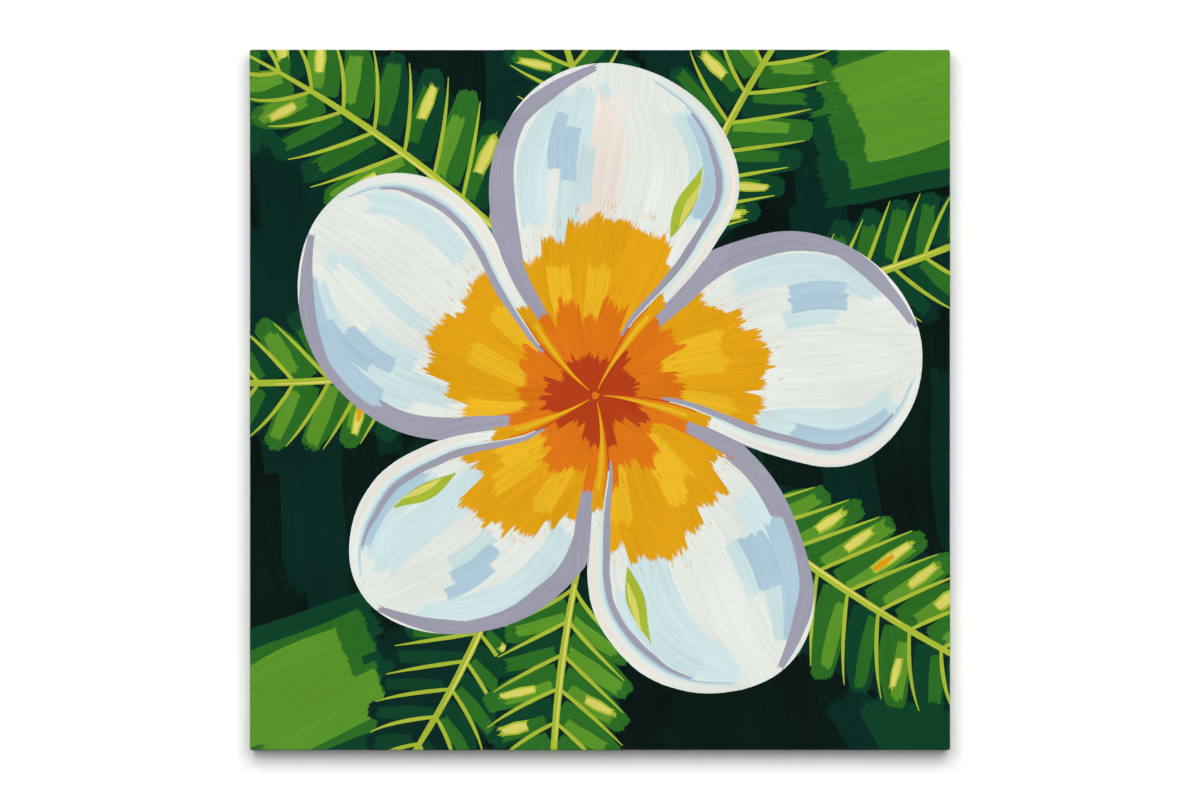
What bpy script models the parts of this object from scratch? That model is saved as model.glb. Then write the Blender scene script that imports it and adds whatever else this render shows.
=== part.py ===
"""A gallery-wrapped canvas picture: a square painted cloth stretched over four keyed pine bars.

Frame: metres, +Z up, +X to the right as seen from the front, and the picture faces -Y. The wall
is the plane y = 0. The origin is where the hanger's middle notch sits over a nail in that wall.

The four sides are alike. What repeats on each side is made once, at the top side and about the
picture's centre, and is then turned a quarter turn at a time about the Y axis.
"""

import math

import bmesh
import bpy
from mathutils import Matrix

MM = 0.001

# The picture as a whole
SIDE = 610 * MM  # width and height
DEPTH = 38 * MM  # from the painted face to the cloth on the back
WALL_GAP = 3 * MM  # what the bumpers hold the back off the wall
GAP = 0.3 * MM  # left between pieces that touch
HANGER_DROP = 32 * MM  # from the top edge down to the hanger's middle notch

# The cloth
CLOTH = 0.6 * MM  # cotton with its primer and paint
CLOTH_RADIUS = 1.2 * MM  # where it turns round an edge
FLAP = 22 * MM  # turned onto the back, from the outer edge inwards

# The stretcher bars
BAR_WIDTH = 36 * MM
LIP_WIDTH = 5 * MM  # the raised front edge that carries the cloth
LIP_RADIUS = 2.2 * MM
LIP_HEIGHT = 3 * MM  # down to the foot of the lip's inner slope
LIP_SLOPE = 4 * MM  # width of that slope
INNER_FALL = 1 * MM  # further fall from the slope's foot to the inner edge
BACK_RADIUS = 1 * MM
BACK_CHAMFER = 2 * MM
TONGUE = 5 * MM  # thickness of each tongue of a corner joint

# The corner keys
KEY_LENGTH = 36 * MM
KEY_INSERTED = 22 * MM
KEY_TIP = 3 * MM
KEY_HEAD = 14 * MM

# The staples
STAPLES_PER_SIDE = 9
STAPLE_SPAN = 512 * MM  # from the first staple's middle to the last one's
STAPLE_CROWN = 11.4 * MM
STAPLE_WIRE = 0.6 * MM
STAPLE_WIRE_WIDTH = 1.2 * MM
STAPLE_LEG = 8 * MM
STAPLE_RADIUS = 0.9 * MM

# The hanger and its pins
PLATE_LENGTH = 45 * MM
PLATE_HEIGHT = 10 * MM
PLATE_THICKNESS = 0.9 * MM
PLATE_RISE = 1.7 * MM  # of the toothed middle over the two ends
PLATE_END = 8 * MM  # the flat end that is pinned to the bar
PLATE_RAMP = 2.5 * MM
NOTCHES = 7
NOTCH_PITCH = 3.4 * MM
NOTCH_WIDTH = 3 * MM
NOTCH_HEIGHT = 2.5 * MM
PIN_INSET = 4 * MM  # from the plate's end to the pin
PIN_RADIUS = 0.6 * MM
PIN_LENGTH = 12 * MM
PIN_HEAD_RADIUS = 1.5 * MM
PIN_HEAD = 0.8 * MM

# The wall bumpers
BUMPER_RADIUS = 6 * MM
BUMPER_FLAT_RADIUS = 4.2 * MM
BUMPER_INSET = 16 * MM  # from the two nearest edges to its middle

ARC_SEGMENTS = 4
PIN_STEPS = 12
BUMPER_STEPS = 24
OVERCUT = 1 * MM  # how far a cutter runs past the faces it cuts through

# Planes that follow from the sizes above
CENTRE_Z = HANGER_DROP - SIDE / 2
CLOTH_FRONT = -(WALL_GAP + DEPTH)
CLOTH_BACK = -WALL_GAP
BAR_FRONT = CLOTH_FRONT + CLOTH + GAP
BAR_BACK = CLOTH_BACK - CLOTH - GAP
BAR_OUTER = SIDE / 2 - CLOTH - GAP  # the bar's outer face, from the picture's centre
BAR_INNER = BAR_OUTER - BAR_WIDTH
JOINT_MIDDLE = (BAR_FRONT + BAR_BACK) / 2
FRONT_LAYER = (JOINT_MIDDLE - TONGUE, JOINT_MIDDLE)
BACK_LAYER = (JOINT_MIDDLE, JOINT_MIDDLE + TONGUE)
STAPLE_HEIGHT = SIDE / 2 - FLAP / 2  # the row's height over the picture's centre

SIDES = {"top": 0, "right": 1, "bottom": 2, "left": 3}  # quarter turns from the top side

PINE = ("pine", (0.62, 0.42, 0.22), 0.6, 0.0)
KEY_WOOD = ("key_wood", (0.70, 0.52, 0.30), 0.55, 0.0)
PAINTED_CLOTH = ("painted_cloth", (0.08, 0.16, 0.06), 0.45, 0.0)
STEEL = ("steel", (0.62, 0.62, 0.60), 0.35, 1.0)
ZINC = ("zinc", (0.72, 0.66, 0.50), 0.4, 1.0)
RUBBER = ("rubber", (0.05, 0.05, 0.05), 0.7, 0.0)


def clear_scene():
    for obj in list(bpy.data.objects):
        bpy.data.objects.remove(obj)


def material(finish):
    name, color, roughness, metallic = finish
    found = bpy.data.materials.get(name)
    if found:
        return found
    made = bpy.data.materials.new(name)
    made.use_nodes = True
    shader = made.node_tree.nodes["Principled BSDF"]
    shader.inputs["Base Color"].default_value = (*color, 1.0)
    shader.inputs["Roughness"].default_value = roughness
    shader.inputs["Metallic"].default_value = metallic
    return made


def new_object(name, data):
    obj = bpy.data.objects.new(name, data)
    bpy.context.scene.collection.objects.link(obj)
    return obj


def evaluated_mesh(obj):
    """The object's mesh with its modifiers, or a curve's tube or plate, with its seams welded."""
    graph = bpy.context.evaluated_depsgraph_get()
    mesh = bpy.data.meshes.new_from_object(obj.evaluated_get(graph))
    shape = bmesh.new()
    shape.from_mesh(mesh)
    bmesh.ops.remove_doubles(shape, verts=shape.verts, dist=GAP / 100)
    bmesh.ops.recalc_face_normals(shape, faces=shape.faces)
    shape.to_mesh(mesh)
    shape.free()
    return mesh


def prism(outline, thickness):
    """A mesh of this outline in the XY plane, with this thickness centred on Z = 0."""
    curve = bpy.data.curves.new("outline", "CURVE")
    curve.dimensions = "2D"
    curve.fill_mode = "BOTH"
    curve.extrude = thickness / 2
    spline = curve.splines.new("POLY")
    spline.points.add(len(outline) - 1)
    for point, (x, y) in zip(spline.points, outline):
        point.co = (x, y, 0, 1)
    spline.use_cyclic_u = True
    flat = new_object("outline", curve)
    mesh = evaluated_mesh(flat)
    bpy.data.objects.remove(flat)
    return mesh


def plate(outline, front, back):
    """A mesh of this outline in X and Z, filling the depth from front to back along Y."""
    mesh = prism(outline, back - front)
    middle = (front + back) / 2
    mesh.transform(Matrix.Translation((0, middle, 0)) @ Matrix.Rotation(math.pi / 2, 4, "X"))
    return mesh


def turned(profile, steps):
    """A mesh turned about Y. The profile gives (radius, y) from its highest y down to its lowest."""
    mesh = bpy.data.meshes.new("profile")
    points = [(radius, 0, height) for radius, height in profile]
    edges = [(i, i + 1) for i in range(len(points) - 1)]
    mesh.from_pydata(points, edges, [])
    lathe = new_object("lathe", mesh)
    screw = lathe.modifiers.new("turn", "SCREW")
    screw.steps = steps
    screw.render_steps = steps
    screw.use_merge_vertices = True
    screw.merge_threshold = GAP / 100
    solid = evaluated_mesh(lathe)
    bpy.data.objects.remove(lathe)
    solid.transform(Matrix.Rotation(-math.pi / 2, 4, "X"))
    return solid


def boxes(places, size):
    """One mesh of equal boxes, each centred on one of these places."""
    shape = bmesh.new()
    for place in places:
        matrix = Matrix.Translation(place) @ Matrix.Diagonal((*size, 1))
        bmesh.ops.create_cube(shape, size=1, matrix=matrix)
    mesh = bpy.data.meshes.new("boxes")
    shape.to_mesh(mesh)
    shape.free()
    return mesh


def carved(mesh, cutters):
    """The mesh with each cutter mesh cut out of it."""
    body = new_object("body", mesh)
    tools = [new_object("cutter", cutter) for cutter in cutters]
    for tool in tools:
        cut = body.modifiers.new("cut", "BOOLEAN")
        cut.operation = "DIFFERENCE"
        cut.solver = "EXACT"
        cut.object = tool
    result = evaluated_mesh(body)
    for helper in [body, *tools]:
        bpy.data.objects.remove(helper)
    return result


def quarter_turned(mesh, turns):
    """A copy of a mesh made at the top side, moved to another side of the centre."""
    copy = mesh.copy()
    copy.transform(Matrix.Rotation(turns * math.pi / 2, 4, "Y"))
    return copy


def arc(centre, radius, start, end, segments=ARC_SEGMENTS):
    """Points from one angle to another, in degrees."""
    angles = [math.radians(start + (end - start) * i / segments) for i in range(segments + 1)]
    return [(centre[0] + radius * math.cos(a), centre[1] + radius * math.sin(a)) for a in angles]


def node(name, mesh, finish, parent, turns=0, place=(0, 0, 0)):
    """One piece of the picture: a named object with its own finish."""
    mesh.materials.clear()
    mesh.materials.append(material(finish))
    obj = new_object(name, mesh)
    obj.parent = parent
    obj.location = place
    obj.rotation_euler = (0, turns * math.pi / 2, 0)
    mesh.shade_smooth()
    mesh.set_sharp_from_angle(angle=math.radians(35))
    return obj


# The bars


def bar_profile():
    """The bar's section, as points of depth (Y) and distance from the picture's centre (Z)."""
    slope_foot = BAR_OUTER - LIP_WIDTH - LIP_SLOPE
    front_outer = (BAR_FRONT + LIP_RADIUS, BAR_OUTER - LIP_RADIUS)
    back_outer = (BAR_BACK - BACK_RADIUS, BAR_OUTER - BACK_RADIUS)
    return [
        (BAR_FRONT, BAR_OUTER - LIP_WIDTH),
        *arc(front_outer, LIP_RADIUS, 180, 90),
        *arc(back_outer, BACK_RADIUS, 90, 0),
        (BAR_BACK, BAR_INNER + BACK_CHAMFER),
        (BAR_BACK - BACK_CHAMFER, BAR_INNER),
        (BAR_FRONT + LIP_HEIGHT + INNER_FALL, BAR_INNER),
        (BAR_FRONT + LIP_HEIGHT, slope_foot),
    ]


def mitre_outline(end):
    """What lies beyond the corner's mitre line, at the bar's right (1) or left (-1) end."""
    shift = GAP / math.sqrt(2)  # half the gap, measured along the bar
    outer = BAR_OUTER + OVERCUT
    inner = BAR_INNER - OVERCUT
    return [
        (end * (outer - shift), outer),
        (end * (inner - shift), inner),
        (end * outer, inner),
        (end * outer, outer),
    ]


def key_outline(end, clearance):
    """The wedge between this bar's shoulder and the side of the next bar's tongue.

    A clearance of 0 gives the key itself, and GAP the room it has at its slope and its tip.
    """
    straight = BAR_INNER - GAP
    head = BAR_INNER - (KEY_LENGTH - KEY_INSERTED)
    tip = BAR_INNER + KEY_INSERTED + clearance
    return [
        (end * straight, head),
        (end * straight, tip),
        (end * (straight - KEY_TIP - clearance), tip),
        (end * (straight - KEY_HEAD - clearance), head),
    ]


def slot_outline(end):
    """What is cut away in the layer that takes the next bar's tongue and this bar's key."""
    _, _, tip_corner, head_corner = key_outline(end, GAP)
    outer = BAR_OUTER + OVERCUT
    return [
        (end * outer, head_corner[1]),
        (end * outer, outer),
        (tip_corner[0], outer),
        tip_corner,
        head_corner,
    ]


def layer_with_room(layer):
    """The layer's depth with half a gap more on each side."""
    return layer[0] - GAP / 2, layer[1] + GAP / 2


def end_cutters(end):
    """The cuts that leave a tongue in one layer and a slot in the other.

    The right end has its slot in the front layer, and the left end in the back layer, so four
    alike bars lock together.
    """
    before, after = BAR_FRONT - OVERCUT, BAR_BACK + OVERCUT
    if end > 0:
        slot = FRONT_LAYER
        cheeks = [(before, FRONT_LAYER[0]), (BACK_LAYER[1] - GAP / 2, after)]
    else:
        slot = BACK_LAYER
        cheeks = [(before, FRONT_LAYER[0] + GAP / 2), (BACK_LAYER[1], after)]
    cutters = [plate(mitre_outline(end), *cheek) for cheek in cheeks]
    cutters.append(plate(slot_outline(end), *layer_with_room(slot)))
    return cutters


def staple_places():
    """The middle of each staple on the top side, along X."""
    step = STAPLE_SPAN / (STAPLES_PER_SIDE - 1)
    return [-STAPLE_SPAN / 2 + i * step for i in range(STAPLES_PER_SIDE)]


def leg_holes():
    """A box round each staple leg of the top side, with the gap all round."""
    reach = CLOTH_BACK + GAP - STAPLE_LEG - GAP
    outside = CLOTH_BACK + OVERCUT
    leg_offset = (STAPLE_CROWN - STAPLE_WIRE) / 2
    places = [
        (x + side * leg_offset, (reach + outside) / 2, STAPLE_HEIGHT)
        for x in staple_places()
        for side in (-1, 1)
    ]
    size = (STAPLE_WIRE + 2 * GAP, outside - reach, STAPLE_WIRE_WIDTH + 2 * GAP)
    return boxes(places, size)


def pin_places():
    """Where the two pins go through the hanger, along X."""
    reach = PLATE_LENGTH / 2 - PIN_INSET
    return {"left": -reach, "right": reach}


def pin_hole(x, height):
    """A cutter round one pin, long enough for the plate and the bar behind it."""
    back = BAR_BACK + GAP + PLATE_THICKNESS + OVERCUT
    front = BAR_BACK + 2 * GAP + PLATE_THICKNESS - PIN_LENGTH - GAP
    radius = PIN_RADIUS + GAP
    hole = turned([(0, back), (radius, back), (radius, front), (0, front)], PIN_STEPS)
    hole.transform(Matrix.Translation((x, 0, height)))
    return hole


def make_bars(centre):
    """Four alike bars. The top one also has the holes for the hanger's pins."""
    blank = prism(bar_profile(), 2 * BAR_OUTER)
    # The section's X and Y become the picture's Y and Z, and its length runs along X.
    blank.transform(Matrix(((0, 0, 1, 0), (1, 0, 0, 0), (0, 1, 0, 0), (0, 0, 0, 1))))
    bar = carved(blank, [*end_cutters(1), *end_cutters(-1), leg_holes()])
    plate_middle = -CENTRE_Z + PLATE_HEIGHT / 2 - NOTCH_HEIGHT
    top_bar = carved(bar.copy(), [pin_hole(x, plate_middle) for x in pin_places().values()])
    for side, turns in SIDES.items():
        node(f"bar_{side}", top_bar if side == "top" else bar, PINE, centre, turns)


def make_keys(centre):
    """Two keys in each corner, one in each layer, so that they pass over each other."""
    for end, layer, letter in ((1, FRONT_LAYER, "a"), (-1, BACK_LAYER, "b")):
        key = plate(key_outline(end, 0), layer[0] + GAP / 2, layer[1] - GAP / 2)
        for side, turns in SIDES.items():
            node(f"key_{side}_{letter}", key, KEY_WOOD, centre, turns)


# The cloth


def make_canvas(centre):
    """The cloth over the front and the four edges, turned onto the back as a border."""
    shape = bmesh.new()
    matrix = Matrix.Translation((0, (CLOTH_FRONT + CLOTH_BACK) / 2, 0))
    matrix = matrix @ Matrix.Diagonal((SIDE, DEPTH, SIDE, 1))
    bmesh.ops.create_cube(shape, size=1, matrix=matrix)
    bmesh.ops.bevel(
        shape,
        geom=list(shape.edges),
        offset=CLOTH_RADIUS,
        segments=3,
        profile=0.5,
        affect="EDGES",
    )
    back = max(shape.faces, key=lambda face: face.normal.y * face.calc_area())
    bmesh.ops.inset_region(shape, faces=[back], thickness=FLAP - CLOTH_RADIUS)
    bmesh.ops.delete(shape, geom=[back], context="FACES")
    mesh = bpy.data.meshes.new("canvas")
    shape.to_mesh(mesh)
    shape.free()
    sheet = new_object("sheet", mesh)
    thicken = sheet.modifiers.new("thickness", "SOLIDIFY")
    thicken.thickness = CLOTH
    thicken.offset = -1
    thicken.use_even_offset = True
    shell = evaluated_mesh(sheet)
    bpy.data.objects.remove(sheet)
    holes = leg_holes()
    shell = carved(shell, [quarter_turned(holes, turns) for turns in SIDES.values()])
    node("canvas", shell, PAINTED_CLOTH, centre)


# The fastenings


def make_staples(centre):
    """A row of staples in each side's flap, their legs in the bar."""
    half = STAPLE_CROWN / 2
    outer_y = GAP + STAPLE_WIRE
    left_corner = (-half + STAPLE_RADIUS, outer_y - STAPLE_RADIUS)
    right_corner = (half - STAPLE_RADIUS, outer_y - STAPLE_RADIUS)
    outline = [
        (-half + STAPLE_WIRE, GAP),
        (-half + STAPLE_WIRE, GAP - STAPLE_LEG),
        (-half, GAP - STAPLE_LEG),
        *arc(left_corner, STAPLE_RADIUS, 180, 90, 2),
        *arc(right_corner, STAPLE_RADIUS, 90, 0, 2),
        (half, GAP - STAPLE_LEG),
        (half - STAPLE_WIRE, GAP - STAPLE_LEG),
        (half - STAPLE_WIRE, GAP),
    ]
    staple = prism(outline, STAPLE_WIRE_WIDTH)
    for side, turns in SIDES.items():
        turn = Matrix.Rotation(turns * math.pi / 2, 4, "Y")
        for number, x in enumerate(staple_places(), 1):
            place = turn @ Matrix.Translation((x, CLOTH_BACK, STAPLE_HEIGHT))
            node(f"staple_{side}_{number}", staple, STEEL, centre, turns, place.translation)


def make_hanger():
    """A toothed plate, bent so that its middle stands off the bar, and its two pins."""
    half = PLATE_LENGTH / 2
    ramp_foot = half - PLATE_END
    ramp_head = ramp_foot - PLATE_RAMP
    under = [(half, 0), (ramp_foot, 0), (ramp_head, PLATE_RISE)]
    under += [(-x, y) for x, y in reversed(under)]
    over = [(x, y + PLATE_THICKNESS) for x, y in reversed(under)]
    base = BAR_BACK + GAP
    strip = prism(under + over, PLATE_HEIGHT)
    middle = PLATE_HEIGHT / 2 - NOTCH_HEIGHT
    strip.transform(Matrix.Translation((0, base, middle)))
    cutters = []
    for i in range(NOTCHES):
        x = (i - (NOTCHES - 1) / 2) * NOTCH_PITCH
        low = -NOTCH_HEIGHT - OVERCUT
        spread = NOTCH_WIDTH / 2 * (NOTCH_HEIGHT + OVERCUT) / NOTCH_HEIGHT
        notch = [(x - spread, low), (x + spread, low), (x, 0)]
        cutters.append(plate(notch, base, base + PLATE_RISE + PLATE_THICKNESS + OVERCUT))
    cutters += [pin_hole(x, middle) for x in pin_places().values()]
    node("hanger_plate", carved(strip, cutters), ZINC, None)

    under_head = base + PLATE_THICKNESS + GAP
    profile = [
        (0, under_head + PIN_HEAD),
        (PIN_HEAD_RADIUS * 0.8, under_head + PIN_HEAD),
        (PIN_HEAD_RADIUS, under_head + PIN_HEAD / 2),
        (PIN_HEAD_RADIUS, under_head),
        (PIN_RADIUS, under_head),
        (PIN_RADIUS, under_head - PIN_LENGTH + 2 * PIN_RADIUS),
        (0, under_head - PIN_LENGTH),
    ]
    pin = turned(profile, PIN_STEPS)
    for side, x in pin_places().items():
        node(f"hanger_pin_{side}", pin, STEEL, None, place=(x, 0, middle))


def make_bumpers(centre):
    """Two round rubber feet that rest on the wall, at the lower corners of the back."""
    base = CLOTH_BACK + GAP
    rise = -base
    profile = [
        (0, 0),
        (BUMPER_FLAT_RADIUS, 0),
        (BUMPER_RADIUS - (BUMPER_RADIUS - BUMPER_FLAT_RADIUS) / 3, -rise / 3),
        (BUMPER_RADIUS, base + rise / 6),
        (BUMPER_RADIUS, base),
        (0, base),
    ]
    bumper = turned(profile, BUMPER_STEPS)
    reach = SIDE / 2 - BUMPER_INSET
    for side, x in (("left", -reach), ("right", reach)):
        node(f"bumper_{side}", bumper, RUBBER, centre, place=(x, 0, -reach))


def main():
    clear_scene()
    centre = new_object("picture_centre", None)
    centre.location = (0, 0, CENTRE_Z)
    make_canvas(centre)
    make_bars(centre)
    make_keys(centre)
    make_staples(centre)
    make_hanger()
    make_bumpers(centre)


main()
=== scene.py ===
"""Stretched canvas picture: the cloth, the paint on it, and the finish of the frame behind it.

Laid out as a Blender add-on and run as a script. The wood, the staples, the hanger and the
bumpers are the frame's own pieces and get their finish here. The cloth and the paint are made
here. Both are worked out flat, as the cloth lay before it was stretched, and then folded round
the bars by one function, so that the paint runs on over the edges and onto the back.

Flat places are (x, z) in metres from the middle of the picture, seen from the front.
"""

import math
from collections import namedtuple

import bmesh
import bpy
import numpy as np
from bpy.props import FloatProperty, FloatVectorProperty, IntProperty, PointerProperty
from bpy.types import Operator, Panel, PropertyGroup
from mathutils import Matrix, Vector
from mathutils.geometry import delaunay_2d_cdt


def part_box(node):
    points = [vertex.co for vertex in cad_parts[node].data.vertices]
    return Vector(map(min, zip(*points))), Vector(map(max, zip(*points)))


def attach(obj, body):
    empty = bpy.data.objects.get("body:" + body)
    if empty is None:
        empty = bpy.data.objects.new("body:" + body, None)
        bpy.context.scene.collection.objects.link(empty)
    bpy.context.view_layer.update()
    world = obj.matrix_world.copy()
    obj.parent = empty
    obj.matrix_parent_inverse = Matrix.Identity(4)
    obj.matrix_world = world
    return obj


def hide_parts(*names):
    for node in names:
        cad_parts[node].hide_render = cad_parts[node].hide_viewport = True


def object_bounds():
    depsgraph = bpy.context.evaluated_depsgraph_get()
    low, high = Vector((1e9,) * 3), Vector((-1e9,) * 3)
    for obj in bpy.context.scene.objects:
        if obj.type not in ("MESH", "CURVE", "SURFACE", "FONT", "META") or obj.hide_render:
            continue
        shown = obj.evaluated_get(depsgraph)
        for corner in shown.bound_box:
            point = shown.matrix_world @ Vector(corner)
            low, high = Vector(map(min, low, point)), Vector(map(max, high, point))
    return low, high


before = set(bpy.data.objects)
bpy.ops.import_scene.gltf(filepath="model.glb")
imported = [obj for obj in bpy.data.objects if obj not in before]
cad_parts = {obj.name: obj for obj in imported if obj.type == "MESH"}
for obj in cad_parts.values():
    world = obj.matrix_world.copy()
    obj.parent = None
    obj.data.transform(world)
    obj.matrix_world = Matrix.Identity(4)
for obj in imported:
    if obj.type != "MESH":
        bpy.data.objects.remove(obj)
CAD_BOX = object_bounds()

bl_info = {
    "name": "Stretched Canvas Picture",
    "version": (1, 0, 0),
    "blender": (4, 5, 0),
    "location": "View3D > Sidebar > Canvas Picture",
    "description": "Makes a painted canvas on its stretcher bars, with the hardware on its back",
    "category": "Object",
}

MM = 0.001
CLOTH_LOW, CLOTH_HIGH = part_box("canvas")
HALF = (CLOTH_HIGH[0] - CLOTH_LOW[0]) / 2
CENTRE_Z = (CLOTH_HIGH[2] + CLOTH_LOW[2]) / 2
FRONT_Y = CLOTH_LOW[1]
BACK_Y = CLOTH_HIGH[1]
SIDE_NAMES = ("top", "right", "bottom", "left")
PAINT_ONTO_BACK = 4 * MM  # how far the paint runs past the turn at the back
CUT_WOBBLE = 0.5 * MM  # how far the cut edge strays from a straight line
TINY = 1e-9


# Settings


def length_setting(name, text, default):
    return FloatProperty(name=name, description=text, default=default, min=0, unit="LENGTH")


def share_setting(name, text, default):
    return FloatProperty(name=name, description=text, default=default, min=0, subtype="FACTOR")


def power_setting(name, default):
    return FloatProperty(name=name, description="Power", default=default, min=0, unit="POWER")


def angle_setting(name, text, degrees):
    return FloatProperty(
        name=name, description=text, default=math.radians(degrees), subtype="ANGLE"
    )


def colour_setting(name, text, *default):
    """A colour as it looks on a screen, from 0 to 255 for each of red, green and blue."""
    return FloatVectorProperty(
        name=name,
        description=text,
        default=[part / 255 for part in default],
        min=0,
        max=1,
        subtype="COLOR_GAMMA",
    )


class ClothSettings(PropertyGroup):
    """The woven cloth and how it is turned round the bars."""

    thickness: length_setting("Thickness", "Cotton with its primer", 0.6 * MM)
    edge_radius: length_setting("Edge radius", "Of the turn round an edge", 1.6 * MM)
    flap: length_setting("Flap", "Cloth turned onto the back", 22 * MM)
    pitch: length_setting("Thread pitch", "From one thread to the next", 0.9 * MM)
    fold_reach: length_setting("Corner fold", "Length of the folded layer at a corner", 34 * MM)
    fold_height: length_setting("Fold height", "How proud the corner fold stands", 1.5 * MM)
    threads: IntProperty(
        name="Loose threads", description="Along the cut edge, on each side", default=46, min=0
    )
    raw: colour_setting("Raw cotton", "The unprimed back of the cloth", 214, 200, 172)
    primer: colour_setting("Primer", "White ground on the outside", 232, 230, 222)


class BrushSettings(PropertyGroup):
    """How the paint goes on."""

    film: length_setting("Film", "Thickness of one coat of paint", 0.03 * MM)
    bristle: length_setting("Bristle", "Width of one tuft in a ragged end", 1.5 * MM)
    streak: length_setting("Streak", "Width of the marks that the bristles leave", 1.1 * MM)
    streak_length: length_setting("Streak length", "Length of those marks", 45 * MM)
    seed: IntProperty(name="Seed", description="Start of every random draw", default=11, min=0)


class PaletteSettings(PropertyGroup):
    """The paints."""

    night: colour_setting("Night", "Nearly black green", 1, 9, 8)
    pine_green: colour_setting("Pine green", "Dark ground", 2, 34, 28)
    bottle: colour_setting("Bottle", "Dark leaf", 8, 62, 36)
    leaf: colour_setting("Leaf", "Middle leaf", 42, 108, 30)
    grass: colour_setting("Grass", "Light leaf", 92, 150, 38)
    lime: colour_setting("Lime", "Veins and reflected light", 170, 190, 52)
    lemon: colour_setting("Lemon", "Highlights on the leaves", 222, 216, 104)
    gold: colour_setting("Gold", "Throat of the bloom", 228, 163, 4)
    sun: colour_setting("Sun", "Lighter throat", 240, 186, 30)
    orange: colour_setting("Orange", "Inner throat", 224, 118, 8)
    rust: colour_setting("Rust", "Heart", 184, 60, 14)
    petal: colour_setting("Petal", "White of the petals", 233, 238, 231)
    blush: colour_setting("Blush", "Warm white", 242, 231, 220)
    mist: colour_setting("Mist", "Cool white", 208, 230, 231)
    sky: colour_setting("Sky", "Pale blue shade", 178, 206, 222)
    lilac: colour_setting("Lilac", "Grey shade", 162, 161, 178)


class BloomSettings(PropertyGroup):
    """The painted flower: five petals round one centre."""

    centre_x: FloatProperty(
        name="Centre X", description="From the picture's middle", default=-0.004, unit="LENGTH"
    )
    centre_z: FloatProperty(
        name="Centre Z", description="From the picture's middle", default=0.004, unit="LENGTH"
    )
    petal_length: length_setting("Petal length", "From the centre to the tip", 0.282)
    fullness: angle_setting("Fullness", "Half the angle that a petal spans at its foot", 44)
    turn: angle_setting("Turn", "Direction of the first petal", 81)
    lean: angle_setting("Lean", "How far the petals' feet wind round the centre", 30)
    rim: length_setting("Rim", "Width of a petal's rolled edge", 12.5 * MM)
    throat: share_setting("Throat", "How far the yellow runs along a petal", 0.50)


class TimberSettings(PropertyGroup):
    """The bars and the keys."""

    ring: length_setting("Ring", "Width of a year's growth", 3.4 * MM)
    pine_light: colour_setting("Pine, early wood", "Pale part of a ring", 224, 192, 146)
    pine_dark: colour_setting("Pine, late wood", "Dark part of a ring", 188, 140, 88)
    key_light: colour_setting("Key wood", "Pale part", 232, 208, 168)
    key_dark: colour_setting("Key wood grain", "Dark part", 202, 168, 120)


class HardwareSettings(PropertyGroup):
    """The staples, the pins, the hanger and the bumpers."""

    staple: colour_setting("Staple wire", "Galvanised steel", 150, 150, 148)
    pin: colour_setting("Pin", "Plated steel", 190, 178, 142)
    plate: colour_setting("Hanger plate", "Yellow zinc", 214, 188, 118)
    tarnish: colour_setting("Tarnish", "Dull spots on the metal", 120, 108, 88)
    rubber: colour_setting("Rubber", "Bumpers", 38, 37, 36)


class StageSettings(PropertyGroup):
    """The wall, the floor, the lamps and the camera."""

    wall: colour_setting("Wall and floor", "Pale ground", 250, 250, 250)
    floor_drop: length_setting("Floor", "Below the picture's middle", 1.3)
    share_of_view: share_setting("Share of view", "Width of the picture in the view", 700 / 1200)
    lens: FloatProperty(name="Lens", description="Focal length in mm", default=170, min=10)
    front_power: power_setting("Front lamp", 306)
    side_power: power_setting("Side lamps", 30)
    top_power: power_setting("Top lamp", 30)
    back_power: power_setting("Back lamp", 34)
    air_light: FloatProperty(name="Air light", description="From all round", default=0.13)
    air_seen: FloatProperty(name="Air seen", description="How bright the air looks", default=0.93)


class CanvasPictureSettings(PropertyGroup):
    """Everything that can be changed."""

    cloth: PointerProperty(type=ClothSettings)
    brush: PointerProperty(type=BrushSettings)
    palette: PointerProperty(type=PaletteSettings)
    bloom: PointerProperty(type=BloomSettings)
    timber: PointerProperty(type=TimberSettings)
    hardware: PointerProperty(type=HardwareSettings)
    stage: PointerProperty(type=StageSettings)


def settings():
    return bpy.context.scene.canvas_picture


# Shader building


def linear(colour):
    """A screen colour as the RGBA values that a shader takes."""
    parts = np.asarray(colour, float)
    low = parts / 12.92
    high = ((parts + 0.055) / 1.055) ** 2.4
    return (*np.where(parts <= 0.04045, low, high), 1.0)


def tinted(colour, share, lift=0.0):
    """A screen colour for a shader, made this much lighter or darker."""
    return (*(np.array(linear(colour)[:3]) * share + lift), 1.0)


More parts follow.
